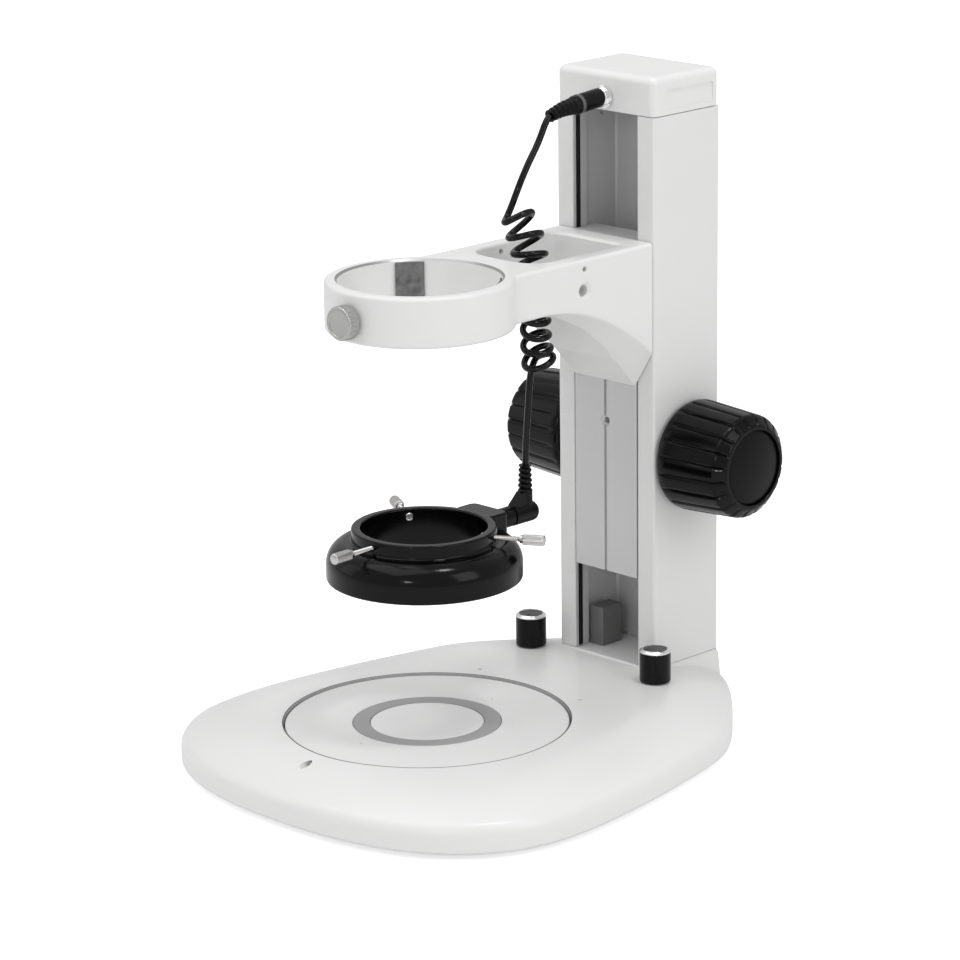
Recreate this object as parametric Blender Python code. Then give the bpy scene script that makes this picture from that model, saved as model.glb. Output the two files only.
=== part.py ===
"""Track stand of a stereo microscope: lit base, rack-and-pinion column, ring arm and ring light.

Metres, +Z up. The origin is on the bench under the middle of the base, +X is the stand's right
hand side seen from the front, and the column stands towards +Y. Every part is an object of its
own, parented to the empty of the body that it moves with.
"""
import math

import bmesh
import bpy
from mathutils import Matrix, Vector

# ------------------------------------------------------------------ driving dimensions (metres)
GAP = 0.0003                 # clearance between pieces that touch
RUN = 0.0001                 # radial running clearance of the focus shaft in its bushes

FOOT_HEIGHT = 0.003
BASE_HEIGHT = 0.024          # casting, bottom edge to flat top
BASE_FRONT = 0.0995          # optical axis to the front edge of the base
BASE_BACK = 0.1775           # optical axis to the back edge of the base
DOME_DROP = 0.0095           # fall of the top towards its edge
DOME_RUN = 0.034             # width of that falling band
SHOULDER_RADIUS = 0.0069
SHOULDER_SWEEP = math.radians(65)
RIM_RADIUS = 0.002

BASE_BOTTOM = FOOT_HEIGHT
BASE_TOP = FOOT_HEIGHT + BASE_HEIGHT
AXIS_Y = (BASE_FRONT - BASE_BACK) / 2    # the optical axis is at x = 0, y = AXIS_Y

STAGE_RADIUS = 0.0670        # white stage plate
STAGE_SEAM = 0.0009          # dark gap left all round it
STAGE_SINK = 0.0011          # its face lies this far below the base's top
STAGE_THICK = 0.004
STAGE_LEDGE = 0.058          # radius of the opening under the plate
CEILING = BASE_TOP - 0.0085  # underside of the casting's top wall
SETSCREW_RISE = 0.35         # slope of the stage plate's lock screw
SETSCREW_AT = (0, AXIS_Y - STAGE_RADIUS - 0.0022, BASE_TOP - 0.0055)
LEAD_HOLE = (0.012, AXIS_Y + 0.1598)
RING_RADIUS = 0.0349         # grey ring round the lit window
WINDOW_RADIUS = 0.0267

COLUMN_WIDTH = 0.063
COLUMN_FRONT = AXIS_Y + 0.1237
COLUMN_BACK = AXIS_Y + 0.1702
COLUMN_FOOT = BASE_TOP + 0.0008
CAP_SEAM = BASE_TOP + 0.2726
CAP_TOP = BASE_TOP + 0.2915
PANEL_DEPTH = 0.0006         # shallow panel in each side of the cap
CHANNEL_HALF = 0.0209        # half width of the slot between the column's lips
CHANNEL_LIP = COLUMN_FRONT + 0.0095
CAVITY_HALF = 0.023
CAVITY_BACK = COLUMN_FRONT + 0.0328
STRIP_FRONT = COLUMN_FRONT + 0.0022
STRIP_WIDTH = 0.0029
STRIP_DEPTH = 0.002
INLET_AT = (-0.012, COLUMN_BACK, BASE_TOP + 0.030)

SHAFT_Y = AXIS_Y + 0.150
SHAFT_Z = BASE_TOP + 0.1051
SHAFT_RADIUS = 0.003
BUSH_RADIUS = 0.0048         # hole for a shaft bush in the column wall
BUSH_FLANGE = 0.0061
GEAR_MODULE = 0.0008
PINION_TEETH = 14
PITCH_RADIUS = GEAR_MODULE * PINION_TEETH / 2
TOOTH_ADDENDUM = 0.0006
TOOTH_DEDENDUM = 0.00085
TOOTH_BACKLASH = 0.0003
PRESSURE_ANGLE = math.radians(20)
KNOB_RADIUS = 0.0272           # a focus knob at its inner end
KNOB_TAPER = 0.0020            # smaller than that at the outer shoulder
KNOB_INNER = 0.0323          # inner face of a focus knob, from the middle
KNOB_OUTER = 0.0725
KNOB_FLUTES = 20
KNOB_CAP_RADIUS = 0.018

SLIDER_FRONT = COLUMN_FRONT - 0.0004
SLIDER_HALF = 0.0202
SLIDER_BACK = AXIS_Y + 0.139
SLIDER_BOTTOM = BASE_TOP + 0.0452
SLIDER_TOP = BASE_TOP + 0.213
RACK_HALF = 0.004
ARM_SCREW_X = 0.013
ARM_SCREW_Z = BASE_TOP + 0.190

ARM_TOP = BASE_TOP + 0.2131
ARM_UNDER = BASE_TOP + 0.1895
ARM_BACK = SLIDER_FRONT - GAP
ARM_HALF = 0.0312
ARM_BORE = 0.038             # radius of the 76 mm seat of a microscope head
ARM_RING = 0.044
ARM_EDGE = 0.0018            # rounding of its outer edges
NECK_START = 0.045           # the neck deepens from here back
CLAMP_Z = BASE_TOP + 0.2002
CLAMP_HOLE = 0.0033

LIGHT_BOTTOM = BASE_TOP + 0.070
LIGHT_SHOULDER = BASE_TOP + 0.088
LIGHT_TOP = BASE_TOP + 0.0947
LIGHT_RADIUS = 0.046
COLLAR_RADIUS = 0.034
LIGHT_BORE = 0.0296
TROUGH_INNER = 0.0330        # the downward trough that holds the lamps
TROUGH_OUTER = 0.0443
TROUGH_DEPTH = 0.0125
BOSS_END = AXIS_Y + 0.0448
BOSS_HALF = 0.012
PLUG_Y = AXIS_Y + 0.0675      # axis of the lower plug's upright half
PLUG_Z = BASE_TOP + 0.087     # axis of its level half
THUMB_Z = BASE_TOP + 0.0912
THUMB_ANGLES = (30, 150, 270)

DIMMER_X = 0.0417
DIMMER_Y = AXIS_Y + 0.1134
DIMMER_RADIUS = 0.0076
DIMMER_HEIGHT = 0.0163

SOCKET_Z = BASE_TOP + 0.2795
PLUG_RADIUS = 0.0046
CORD_RADIUS = 0.0016
COIL_RADIUS = 0.0086         # outside of the curly stretch

# Half of the base's outline, front to back, measured from the optical axis.
BASE_HALF_OUTLINE = (
    (0.000, -BASE_FRONT), (0.050, -0.0945), (0.088, -0.0775), (0.110, -0.049), (0.1155, -0.015),
    (0.1115, 0.028), (0.1035, 0.070), (0.0925, 0.108), (0.066, 0.1425), (0.0355, 0.170),
    (0.000, BASE_BACK),
)

# Routes of the cord, as (y from the optical axis, height above the base's top) at x = 0.
UPPER_ROUTE = (
    (0.0861, 0.2753), (0.0846, 0.2744), (0.0824, 0.2708), (0.0783, 0.2637), (0.0721, 0.2556),
    (0.0677, 0.2488), (0.0640, 0.2425), (0.0612, 0.2384),
)
COIL_ROUTE = (
    (0.0600, 0.2345), (0.0622, 0.2308), (0.0678, 0.2236), (0.0714, 0.2146), (0.0733, 0.2055),
    (0.0745, 0.1968), (0.0754, 0.1858), (0.0757, 0.1752), (0.0760, 0.1678), (0.0772, 0.1601),
    (0.0778, 0.1550),
)
LOWER_ROUTE = (
    (0.0713, 0.1535), (0.0709, 0.1480), (0.0697, 0.1350), (0.0683, 0.1200), (0.0678, 0.1104),
)

# Lead inside the stand, as (x, y from the optical axis, height above the base's top).
SOCKET_LEAD_ROUTE = (
    (0.012, 0.100, -0.0165), (0.012, 0.146, -0.0165), (0.012, 0.1570, -0.0158),
    (0.012, 0.1596, -0.0125), (0.012, 0.1599, 0.004), (0.012, 0.162, 0.060), (0.012, 0.162, 0.200),
    (0.012, 0.162, 0.266), (0.010, 0.157, 0.2765), (0.004, 0.147, 0.2795), (0.000, 0.1362, 0.2795),
)


# ------------------------------------------------------------------ scene, bodies and finishes
def clear_scene():
    for item in list(bpy.data.objects):
        bpy.data.objects.remove(item, do_unlink=True)


def make_body(name, location=(0, 0, 0)):
    """The empty that carries every part of one rigid body, on that body's joint axis."""
    body = bpy.data.objects.new(name, None)
    body.empty_display_size = 0.02
    body.location = location
    bpy.context.scene.collection.objects.link(body)
    return body


def make_finish(name, colour, roughness, metallic=0.0):
    finish = bpy.data.materials.new(name)
    finish.use_nodes = True
    shader = finish.node_tree.nodes["Principled BSDF"]
    shader.inputs["Base Color"].default_value = (*colour, 1.0)
    shader.inputs["Roughness"].default_value = roughness
    shader.inputs["Metallic"].default_value = metallic
    return finish


def turn_to(aim):
    """The shortest turn that takes +Z to `aim`."""
    return Vector((0, 0, 1)).rotation_difference(Vector(aim))


def add_part(name, shape, body, finish, at=(0, 0, 0), aim=(0, 0, 1), sharp=35):
    """Turn a bmesh into an object at `at`, its own +Z pointed along `aim`."""
    mesh = bpy.data.meshes.new(name)
    bmesh.ops.recalc_face_normals(shape, faces=shape.faces)
    shape.to_mesh(mesh)
    shape.free()
    mesh.shade_smooth()
    mesh.set_sharp_from_angle(angle=math.radians(sharp))
    part = bpy.data.objects.new(name, mesh)
    part.data.materials.append(finish)
    part.rotation_mode = "QUATERNION"
    part.rotation_quaternion = turn_to(aim)
    part.parent = body
    part.location = Vector(at) - body.location
    bpy.context.scene.collection.objects.link(part)
    return part


def carve(part, name, shape, at=(0, 0, 0), aim=(0, 0, 1), operation="DIFFERENCE"):
    """Cut a closed shape out of a part, or join it on, with a Boolean that stays on the part."""
    tool = add_part(name, shape, part.parent, part.data.materials[0], at, aim)
    tool.hide_render = True
    tool.display_type = "WIRE"
    modifier = part.modifiers.new(name, "BOOLEAN")
    modifier.operation = operation
    modifier.object = tool


# ------------------------------------------------------------------ shapes
def skin(rings, wrap=False):
    """A closed shape over rings of points; wrap joins the last ring to the first."""
    shape = bmesh.new()
    loops = [[shape.verts.new(point) for point in ring] for ring in rings]
    pairs = list(zip(loops, loops[1:]))
    if wrap:
        pairs.append((loops[-1], loops[0]))
    else:
        shape.faces.new(loops[0])
        shape.faces.new(loops[-1])
    for low, high in pairs:
        for i, corner in enumerate(low):
            j = (i + 1) % len(low)
            shape.faces.new((corner, low[j], high[j], high[i]))
    bmesh.ops.recalc_face_normals(shape, faces=shape.faces)
    return shape


def circle(radius, z, steps):
    turns = [math.tau * i / steps for i in range(steps)]
    return [Vector((radius * math.cos(t), radius * math.sin(t), z)) for t in turns]


def turned(profile, steps=32, wrap=False):
    """A solid of revolution about Z from (radius, z) points."""
    return skin([circle(radius, z, steps) for radius, z in profile], wrap)


def tube_ring(inner, outer, z0, z1, steps=32):
    return turned([(inner, z0), (outer, z0), (outer, z1), (inner, z1)], steps, wrap=True)


def prism(outline, z0, z1):
    return skin([[Vector((x, y, z)) for x, y in outline] for z in (z0, z1)])


def arc(cx, cy, radius, start, end, steps):
    angles = [math.radians(start + (end - start) * i / steps) for i in range(steps + 1)]
    return [(cx + radius * math.cos(a), cy + radius * math.sin(a)) for a in angles]


def rounded_box(x0, x1, y0, y1, radius, steps=3):
    """Outline of a rectangle with round corners, counter-clockwise."""
    corners = ((x1, y0, -90), (x1, y1, 0), (x0, y1, 90), (x0, y0, 180))
    outline = []
    for x, y, start in corners:
        cx = x - radius if x == x1 else x + radius
        cy = y - radius if y == y1 else y + radius
        outline += arc(cx, cy, radius, start, start + 90, steps)
    return outline


def box(x0, x1, y0, y1, z0, z1):
    return prism([(x0, y0), (x1, y0), (x1, y1), (x0, y1)], z0, z1)


def together(*shapes):
    """One bmesh of several shapes that don't touch."""
    whole = bmesh.new()
    for shape in shapes:
        mesh = bpy.data.meshes.new("scratch")
        shape.to_mesh(mesh)
        shape.free()
        whole.from_mesh(mesh)
        bpy.data.meshes.remove(mesh)
    return whole


def shifted(shape, x=0.0, y=0.0, z=0.0, aim=(0, 0, 1)):
    turn = turn_to(aim).to_matrix().to_4x4()
    bmesh.ops.transform(shape, matrix=Matrix.Translation((x, y, z)) @ turn, verts=shape.verts)
    return shape


def smooth_through(points, steps, closed=False):
    """Catmull-Rom curve through the points."""
    points = [Vector(p) for p in points]
    count = len(points)
    spans = count if closed else count - 1
    curve = []
    for i in range(spans):
        if closed:
            p0, p1, p2, p3 = (points[(i + k) % count] for k in (-1, 0, 1, 2))
        else:
            p1, p2 = points[i], points[i + 1]
            p0 = points[i - 1] if i else 2 * p1 - p2
            p3 = points[i + 2] if i + 2 < count else 2 * p2 - p1
        for k in range(steps):
            t = k / steps
            curve.append(0.5 * (2 * p1 + (p2 - p0) * t + (2 * p0 - 5 * p1 + 4 * p2 - p3) * t * t
                                + (3 * p1 - p0 - 3 * p2 + p3) * t * t * t))
    if not closed:
        curve.append(points[-1])
    return curve


def add_tube(name, points, radius, body, finish, resolution=2):
    """A plain tube along points that are read off a smooth curve, with closed ends."""
    curve = bpy.data.curves.new(name, "CURVE")
    curve.dimensions = "3D"
    curve.bevel_depth = radius
    curve.bevel_resolution = resolution
    curve.use_fill_caps = True
    spline = curve.splines.new("POLY")
    spline.points.add(len(points) - 1)
    for knot, point in zip(spline.points, points):
        knot.co = (*(Vector(point) - body.location), 1.0)
    tube = bpy.data.objects.new(name, curve)
    tube.data.materials.append(finish)
    tube.parent = body
    bpy.context.scene.collection.objects.link(tube)
    return tube


# ------------------------------------------------------------------ base
def base_loop(inset, steps=3):
    """The base's outline, moved inwards by `inset`."""
    mirrored = [(-x, y) for x, y in BASE_HALF_OUTLINE[-2:0:-1]]
    knots = [(x, AXIS_Y + y) for x, y in (*BASE_HALF_OUTLINE, *mirrored)]
    loop = smooth_through(knots, steps, closed=True)
    count = len(loop)
    moved = []
    for i, point in enumerate(loop):
        along = (loop[(i + 1) % count] - loop[i - 1]).normalized()
        moved.append((point.x - along.y * inset, point.y + along.x * inset))
    return moved


def base_rings():
    """(inset, height) pairs from the bottom edge up over the shoulder to the flat top."""
    wall_top = BASE_TOP - DOME_DROP - SHOULDER_RADIUS * math.sin(SHOULDER_SWEEP)
    rings = [(RIM_RADIUS * 0.6, BASE_BOTTOM), (0.0, BASE_BOTTOM + RIM_RADIUS)]
    for i in range(3):
        angle = SHOULDER_SWEEP * i / 2
        rings.append((SHOULDER_RADIUS * (1 - math.cos(angle)),
                      wall_top + SHOULDER_RADIUS * math.sin(angle)))
    dome_start = rings[-1][0]
    for i in range(1, 5):
        s = i / 4
        rings.append((dome_start + DOME_RUN * s, BASE_TOP - DOME_DROP * (1 - s) ** 2))
    return rings


def make_base(body, paint):
    rings = [[Vector((x, y, z)) for x, y in base_loop(inset)] for inset, z in base_rings()]
    base = add_part("base_casting", skin(rings), body, paint)
    half = COLUMN_WIDTH / 2
    pad = rounded_box(-half, half, COLUMN_FRONT, COLUMN_BACK, 0.0015)
    carve(base, "tool_pad", prism(pad, BASE_TOP - 0.015, COLUMN_FOOT), operation="UNION")
    cover_seat, wall = 0.0077, 0.014
    seat_top = BASE_BOTTOM + 0.0021
    hollow_rings = ((cover_seat, BASE_BOTTOM - 0.001), (cover_seat, seat_top), (wall, seat_top),
                    (wall, CEILING))
    hollow = skin([[Vector((x, y, z)) for x, y in base_loop(inset)] for inset, z in hollow_rings])
    carve(base, "tool_hollow", hollow)
    ledge = BASE_TOP - STAGE_SINK - STAGE_THICK - GAP
    recess_wall = STAGE_RADIUS + STAGE_SEAM
    recess = turned([(STAGE_LEDGE, CEILING - 0.002), (STAGE_LEDGE, ledge), (recess_wall, ledge),
                     (recess_wall, BASE_TOP + 0.002)], 48)
    carve(base, "tool_stage_recess", recess, at=(0, AXIS_Y, 0))
    drill_base(base)


def drill_base(base):
    """Holes for the two dimmers, two spring clips, the lamp lead and the plate's lock screw."""
    holes = []
    for side in (-1, 1):
        pot = turned([(0.0038, CEILING - 0.001), (0.0038, BASE_TOP + 0.001)], 20)
        holes.append(shifted(pot, side * DIMMER_X, DIMMER_Y))
        clip = turned([(0.0012, BASE_TOP - 0.004), (0.0012, BASE_TOP + 0.001)], 12)
        holes.append(shifted(clip, side * 0.0337, AXIS_Y + 0.0692))
    lead = turned([(0.002, CEILING - 0.001), (0.002, COLUMN_FOOT + 0.001)], 12)
    holes.append(shifted(lead, *LEAD_HOLE))
    carve(base, "tool_top_holes", together(*holes))
    screw_way = turned([(0.0022, -0.002), (0.0022, 0.016)], 16)
    carve(base, "tool_setscrew_way", screw_way, at=SETSCREW_AT, aim=(0, -1, SETSCREW_RISE))


def make_base_fittings(body, cover_finish, rubber, steel, board):
    cover = prism(base_loop(0.008), BASE_BOTTOM + GAP, BASE_BOTTOM + 0.0018)
    add_part("base_cover", cover, body, cover_finish)
    foot_places = ((-0.078, -0.062), (0.078, -0.062), (-0.072, 0.112), (0.072, 0.112))
    for number, (x, y) in enumerate(foot_places, 1):
        foot = turned([(0.0085, 0), (0.009, 0.0006), (0.0095, FOOT_HEIGHT)], 16)
        add_part(f"rubber_foot_{number}", foot, body, rubber, at=(x, AXIS_Y + y, 0))
    screw = turned([(0.0019, 0), (0.0019, 0.006)], 16)
    add_part("stage_lock_screw", screw, body, steel, at=SETSCREW_AT, aim=(0, -1, SETSCREW_RISE))
    lamp = turned([(0.050, 0), (0.050, 0.0016)], 40)
    add_part("lamp_board", lamp, body, board, at=(0, AXIS_Y, BASE_BOTTOM + 0.008))
    driver_bottom = BASE_BOTTOM + 0.005
    driver = box(-0.022, 0.022, AXIS_Y + 0.078, AXIS_Y + 0.098, driver_bottom, driver_bottom + 0.0016)
    add_part("driver_board", driver, body, board)


def make_stage(body, white, grey, frosted):
    top = BASE_TOP - STAGE_SINK
    plate = tube_ring(RING_RADIUS + GAP, STAGE_RADIUS, top - STAGE_THICK, top, 48)
    add_part("stage_plate", plate, body, white, at=(0, AXIS_Y, 0))
    ring = tube_ring(WINDOW_RADIUS + GAP, RING_RADIUS, top - STAGE_THICK, top, 40)
    add_part("window_ring", ring, body, grey, at=(0, AXIS_Y, 0))
    window = turned([(WINDOW_RADIUS, top - STAGE_THICK), (WINDOW_RADIUS, top)], 40)
    add_part("stage_window", window, body, frosted, at=(0, AXIS_Y, 0))


# ------------------------------------------------------------------ column
def make_column(body, paint):
    half = COLUMN_WIDTH / 2
    edge = 0.0015
    outline = []
    outline += arc(-half + edge, COLUMN_FRONT + edge, edge, 270, 180, 3)
    outline += arc(-half + edge, COLUMN_BACK - edge, edge, 180, 90, 3)
    outline += arc(half - edge, COLUMN_BACK - edge, edge, 90, 0, 3)
    outline += arc(half - edge, COLUMN_FRONT + edge, edge, 0, -90, 3)
    strip_back = STRIP_FRONT + STRIP_WIDTH
    inside = [(CHANNEL_HALF, COLUMN_FRONT), (CHANNEL_HALF, STRIP_FRONT),
              (CHANNEL_HALF + STRIP_DEPTH, STRIP_FRONT), (CHANNEL_HALF + STRIP_DEPTH, strip_back),
              (CHANNEL_HALF, strip_back), (CHANNEL_HALF, CHANNEL_LIP), (CAVITY_HALF, CHANNEL_LIP),
              (CAVITY_HALF, CAVITY_BACK)]
    outline += inside
    outline += [(-x, y) for x, y in reversed(inside)]
    column = prism(outline, COLUMN_FOOT + GAP, CAP_SEAM)
    column = add_part("column_extrusion", column, body, paint)
    chambers, bores = [], []
    for side in (-1, 1):
        near, far = sorted((side * 0.006, side * 0.018))
        chamber = box(near, far, AXIS_Y + 0.1585, AXIS_Y + 0.1665, COLUMN_FOOT - 0.001, CAP_SEAM + 0.001)
        chambers.append(chamber)
        bore = turned([(BUSH_RADIUS, 0), (BUSH_RADIUS, 0.012)], 32)
        bores.append(shifted(bore, side * CHANNEL_HALF, SHAFT_Y, SHAFT_Z, aim=(side, 0, 0)))
    carve(column, "tool_chambers", together(*chambers))
    carve(column, "tool_shaft_bores", together(*bores))
    inlet = turned([(0.0043, 0.002), (0.0043, -0.010)], 20)
    carve(column, "tool_inlet", inlet, at=INLET_AT, aim=(0, 1, 0))
    pin = turned([(0.0012, -0.004), (0.0012, 0.004)], 12)
    pin_at = (-CAVITY_HALF, AXIS_Y + 0.1465, BASE_TOP + 0.266)
    carve(column, "tool_wall_hole", pin, at=pin_at, aim=(1, 0, 0))


def make_column_fittings(body, black, metal, brass, steel, lead_finish):
    for side, word in ((-1, "left"), (1, "right")):
        near, far = sorted((side * (SLIDER_HALF + GAP), side * (CHANNEL_HALF + STRIP_DEPTH - GAP)))
        strip = box(near, far, STRIP_FRONT + GAP, STRIP_FRONT + STRIP_WIDTH - GAP,
                    COLUMN_FOOT + 0.001, CAP_SEAM - 0.001)
        add_part(f"glide_strip_{word}", strip, body, black)
        flange, wall, end = 0.0213, CAVITY_HALF - GAP, COLUMN_WIDTH / 2 - 0.0005
        bush = turned([(SHAFT_RADIUS + RUN, flange), (BUSH_FLANGE, flange), (BUSH_FLANGE, wall),
                       (BUSH_RADIUS - GAP, wall), (BUSH_RADIUS - GAP, end), (SHAFT_RADIUS + RUN, end)],
                      24, wrap=True)
        add_part(f"shaft_bush_{word}", bush, body, brass, at=(0, SHAFT_Y, SHAFT_Z), aim=(side, 0, 0))
    block = box(-0.0205, -0.012, AXIS_Y + 0.134, AXIS_Y + 0.1475, COLUMN_FOOT + GAP, BASE_TOP + 0.0205)
    add_part("column_foot_block", block, body, metal)
    inlet = turned([(0.0033, 0.0008), (0.0055, 0.0008), (0.0055, GAP), (0.004, GAP), (0.004, -0.009),
                    (0.0033, -0.009)], 24, wrap=True)
    add_part("power_inlet", inlet, body, black, at=INLET_AT, aim=(0, 1, 0))
    socket = turned([(0.0024, -0.0105), (0.0036, -0.0105), (0.0036, GAP), (0.0055, GAP),
                     (0.0055, 0.0012), (0.0048, 0.0014), (0.0048, 0.0042), (0.0024, 0.0042)],
                    20, wrap=True)
    add_part("lamp_socket", socket, body, steel, at=(0, COLUMN_FRONT, SOCKET_Z), aim=(0, -1, 0))
    knots = [(x, AXIS_Y + y, BASE_TOP + z) for x, y, z in SOCKET_LEAD_ROUTE]
    add_tube("socket_lead", smooth_through(knots, 2), 0.0009, body, lead_finish)


def make_cap(body, paint):
    half = COLUMN_WIDTH / 2
    wall = 0.005
    edge = 0.004
    rings = [(0.0, CAP_SEAM + GAP)]
    for i in range(5):
        angle = math.radians(22.5 * i)
        rings.append((edge * (1 - math.cos(angle)), CAP_TOP - edge + edge * math.sin(angle)))
    loops = []
    for inset, z in rings:
        loop = rounded_box(-half + inset, half - inset, COLUMN_FRONT + inset, COLUMN_BACK - inset,
                           0.005 - inset)
        loops.append([Vector((x, y, z)) for x, y in loop])
    cap = add_part("column_cap", skin(loops), body, paint)
    room = box(-half + wall, half - wall, COLUMN_FRONT + wall, COLUMN_BACK - wall, CAP_SEAM - 0.001,
               CAP_TOP - wall)
    carve(cap, "tool_cap_room", room)
    carve(cap, "tool_socket_hole", turned([(0.0039, -0.007), (0.0039, 0.002)], 24),
          at=(0, COLUMN_FRONT, SOCKET_Z), aim=(0, -1, 0))
    panels = []
    for side in (-1, 1):
        near, far = sorted((side * (half - PANEL_DEPTH), side * (half + 0.001)))
        panels.append(box(near, far, AXIS_Y + 0.133, AXIS_Y + 0.1655, BASE_TOP + 0.2755, BASE_TOP + 0.285))
    carve(cap, "tool_side_panels", together(*panels))


# ------------------------------------------------------------------ focus drive
def involute(angle):
    return math.tan(angle) - angle


def pinion_outline():
    """Involute teeth; one tooth points along -Y in the YZ plane."""
    base_radius = PITCH_RADIUS * math.cos(PRESSURE_ANGLE)
    thickness = math.pi * GEAR_MODULE / 2 - TOOTH_BACKLASH
    root = PITCH_RADIUS - TOOTH_DEDENDUM
    tip = PITCH_RADIUS + TOOTH_ADDENDUM
    start = max(base_radius, root)
    radii = [start + (tip - start) * i / 2 for i in range(3)]
    outline = []
    for tooth in range(PINION_TEETH):
        middle = math.pi + math.tau * tooth / PINION_TEETH
        half = []
        for radius in radii:
            angle = math.acos(base_radius / radius)
            half.append(thickness / (2 * PITCH_RADIUS) + involute(PRESSURE_ANGLE) - involute(angle))
        flank = [(root, half[0] * 1.05)] + list(zip(radii, half))
        points = [(r, middle - a) for r, a in flank] + [(r, middle + a) for r, a in reversed(flank)]
        outline += [(r * math.cos(a), r * math.sin(a)) for r, a in points]
    return outline


def make_drive(body, steel, plastic, cap_plastic):
    at = (0, SHAFT_Y, SHAFT_Z)
    shaft = turned([(SHAFT_RADIUS, -0.0695), (SHAFT_RADIUS, 0.0695)], 32)
    add_part("focus_shaft", shaft, body, steel, at=at, aim=(1, 0, 0))
    gear = skin([[Vector((x, y, z)) for y, z in pinion_outline()] for x in (-0.005, 0.005)])
    gear = add_part("focus_pinion", gear, body, steel, at=at)
    carve(gear, "tool_pinion_bore", turned([(SHAFT_RADIUS + GAP, -0.006), (SHAFT_RADIUS + GAP, 0.006)], 24),
          at=at, aim=(1, 0, 0))
    for side, word in ((-1, "left"), (1, "right")):
        knob = add_part(f"focus_knob_{word}", fluted_knob(), body, plastic, at=at, aim=(side, 0, 0))
        seat = KNOB_OUTER - 0.003
        bore = SHAFT_RADIUS + GAP
        pocket = turned([(bore, KNOB_INNER - 0.001), (bore, seat), (KNOB_CAP_RADIUS + 0.0004, seat),
                         (KNOB_CAP_RADIUS + 0.0004, KNOB_OUTER + 0.001)], 28)
        carve(knob, f"tool_knob_pocket_{word}", pocket, at=at, aim=(side, 0, 0))
        dome = turned([(KNOB_CAP_RADIUS, seat + GAP), (KNOB_CAP_RADIUS, KNOB_OUTER - 0.0008),
                       (0.014, KNOB_OUTER + 0.0001), (0.008, KNOB_OUTER + 0.0008),
                       (0.002, KNOB_OUTER + 0.001)], 28)
        add_part(f"knob_cap_{word}", dome, body, cap_plastic, at=at, aim=(side, 0, 0))


def fluted_ring(radius, depth, z):
    """A circle with KNOB_FLUTES shallow grooves."""
    ring = []
    for flute in range(KNOB_FLUTES):
        for share, drop in ((0.0, 0.0), (0.72, 0.0), (0.78, depth), (0.94, depth)):
            turn = math.tau * (flute + share) / KNOB_FLUTES
            r = radius - drop
            ring.append(Vector((r * math.cos(turn), r * math.sin(turn), z)))
    return ring


def fluted_knob():
    return skin([fluted_ring(KNOB_RADIUS - 0.0012, 0.0001, KNOB_INNER),
                 fluted_ring(KNOB_RADIUS, 0.0008, KNOB_INNER + 0.0015),
                 fluted_ring(KNOB_RADIUS - KNOB_TAPER, 0.0008, KNOB_OUTER - 0.0040),
                 fluted_ring(KNOB_RADIUS - 0.0077, 0.0001, KNOB_OUTER)])


# ------------------------------------------------------------------ carriage: slider, rack and arm
def make_slider(body, metal):
    shoulder = COLUMN_FRONT + 0.0099
    wide = CAVITY_HALF - 0.0006
    groove = 0.0009
    outline = [(-SLIDER_HALF, SLIDER_FRONT), (-groove, SLIDER_FRONT), (-groove, SLIDER_FRONT + 0.0015),
               (groove, SLIDER_FRONT + 0.0015), (groove, SLIDER_FRONT), (SLIDER_HALF, SLIDER_FRONT),
               (SLIDER_HALF, shoulder), (wide, shoulder), (wide, SLIDER_BACK), (-wide, SLIDER_BACK),
               (-wide, shoulder), (-SLIDER_HALF, shoulder)]
    slider = add_part("slider_block", prism(outline, SLIDER_BOTTOM, SLIDER_TOP), body, metal)
    sink = turned([(0.0016, -0.005), (0.0016, -0.0014), (0.0031, 0.0), (0.0031, 0.001)], 20)
    carve(slider, "tool_slider_sink", sink, at=(0, SLIDER_FRONT, BASE_TOP + 0.1208), aim=(0, -1, 0))
    ways = []
    for side in (-1, 1):
        way = turned([(0.0028, -0.005), (0.0028, 0.0105), (0.005, 0.0105), (0.005, 0.02)], 24)
        ways.append(shifted(way, side * ARM_SCREW_X, SLIDER_FRONT, ARM_SCREW_Z, aim=(0, 1, 0)))
    carve(slider, "tool_slider_ways", together(*ways))


def rack_outline():
    """Back edge and toothed front of the rack in the YZ plane."""
    pitch = math.pi * GEAR_MODULE
    pitch_line = SHAFT_Y - PITCH_RADIUS
    half = (pitch / 2 - TOOTH_BACKLASH) / 2
    slope = math.tan(PRESSURE_ANGLE)
    tip, root = pitch_line + TOOTH_ADDENDUM, pitch_line - TOOTH_DEDENDUM
    tip_half, root_half = half - TOOTH_ADDENDUM * slope, half + TOOTH_DEDENDUM * slope
    first = math.ceil((SLIDER_BOTTOM + 0.004 - SHAFT_Z) / pitch)
    last = math.floor((SLIDER_TOP - 0.004 - SHAFT_Z) / pitch)
    front = []
    for k in range(first, last):
        z = SHAFT_Z + (k + 0.5) * pitch
        front += [(root, z - root_half), (tip, z - tip_half), (tip, z + tip_half),
                  (root, z + root_half)]
    back = SLIDER_BACK + GAP
    low, high = front[0][1] - pitch / 4, front[-1][1] + pitch / 4
    return [(back, low), (root, low), *front, (root, high), (back, high)]


def make_rack(body, steel):
    rack = skin([[Vector((x, y, z)) for y, z in rack_outline()] for x in (-RACK_HALF, RACK_HALF)])
    add_part("focus_rack", rack, body, steel)


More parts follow.
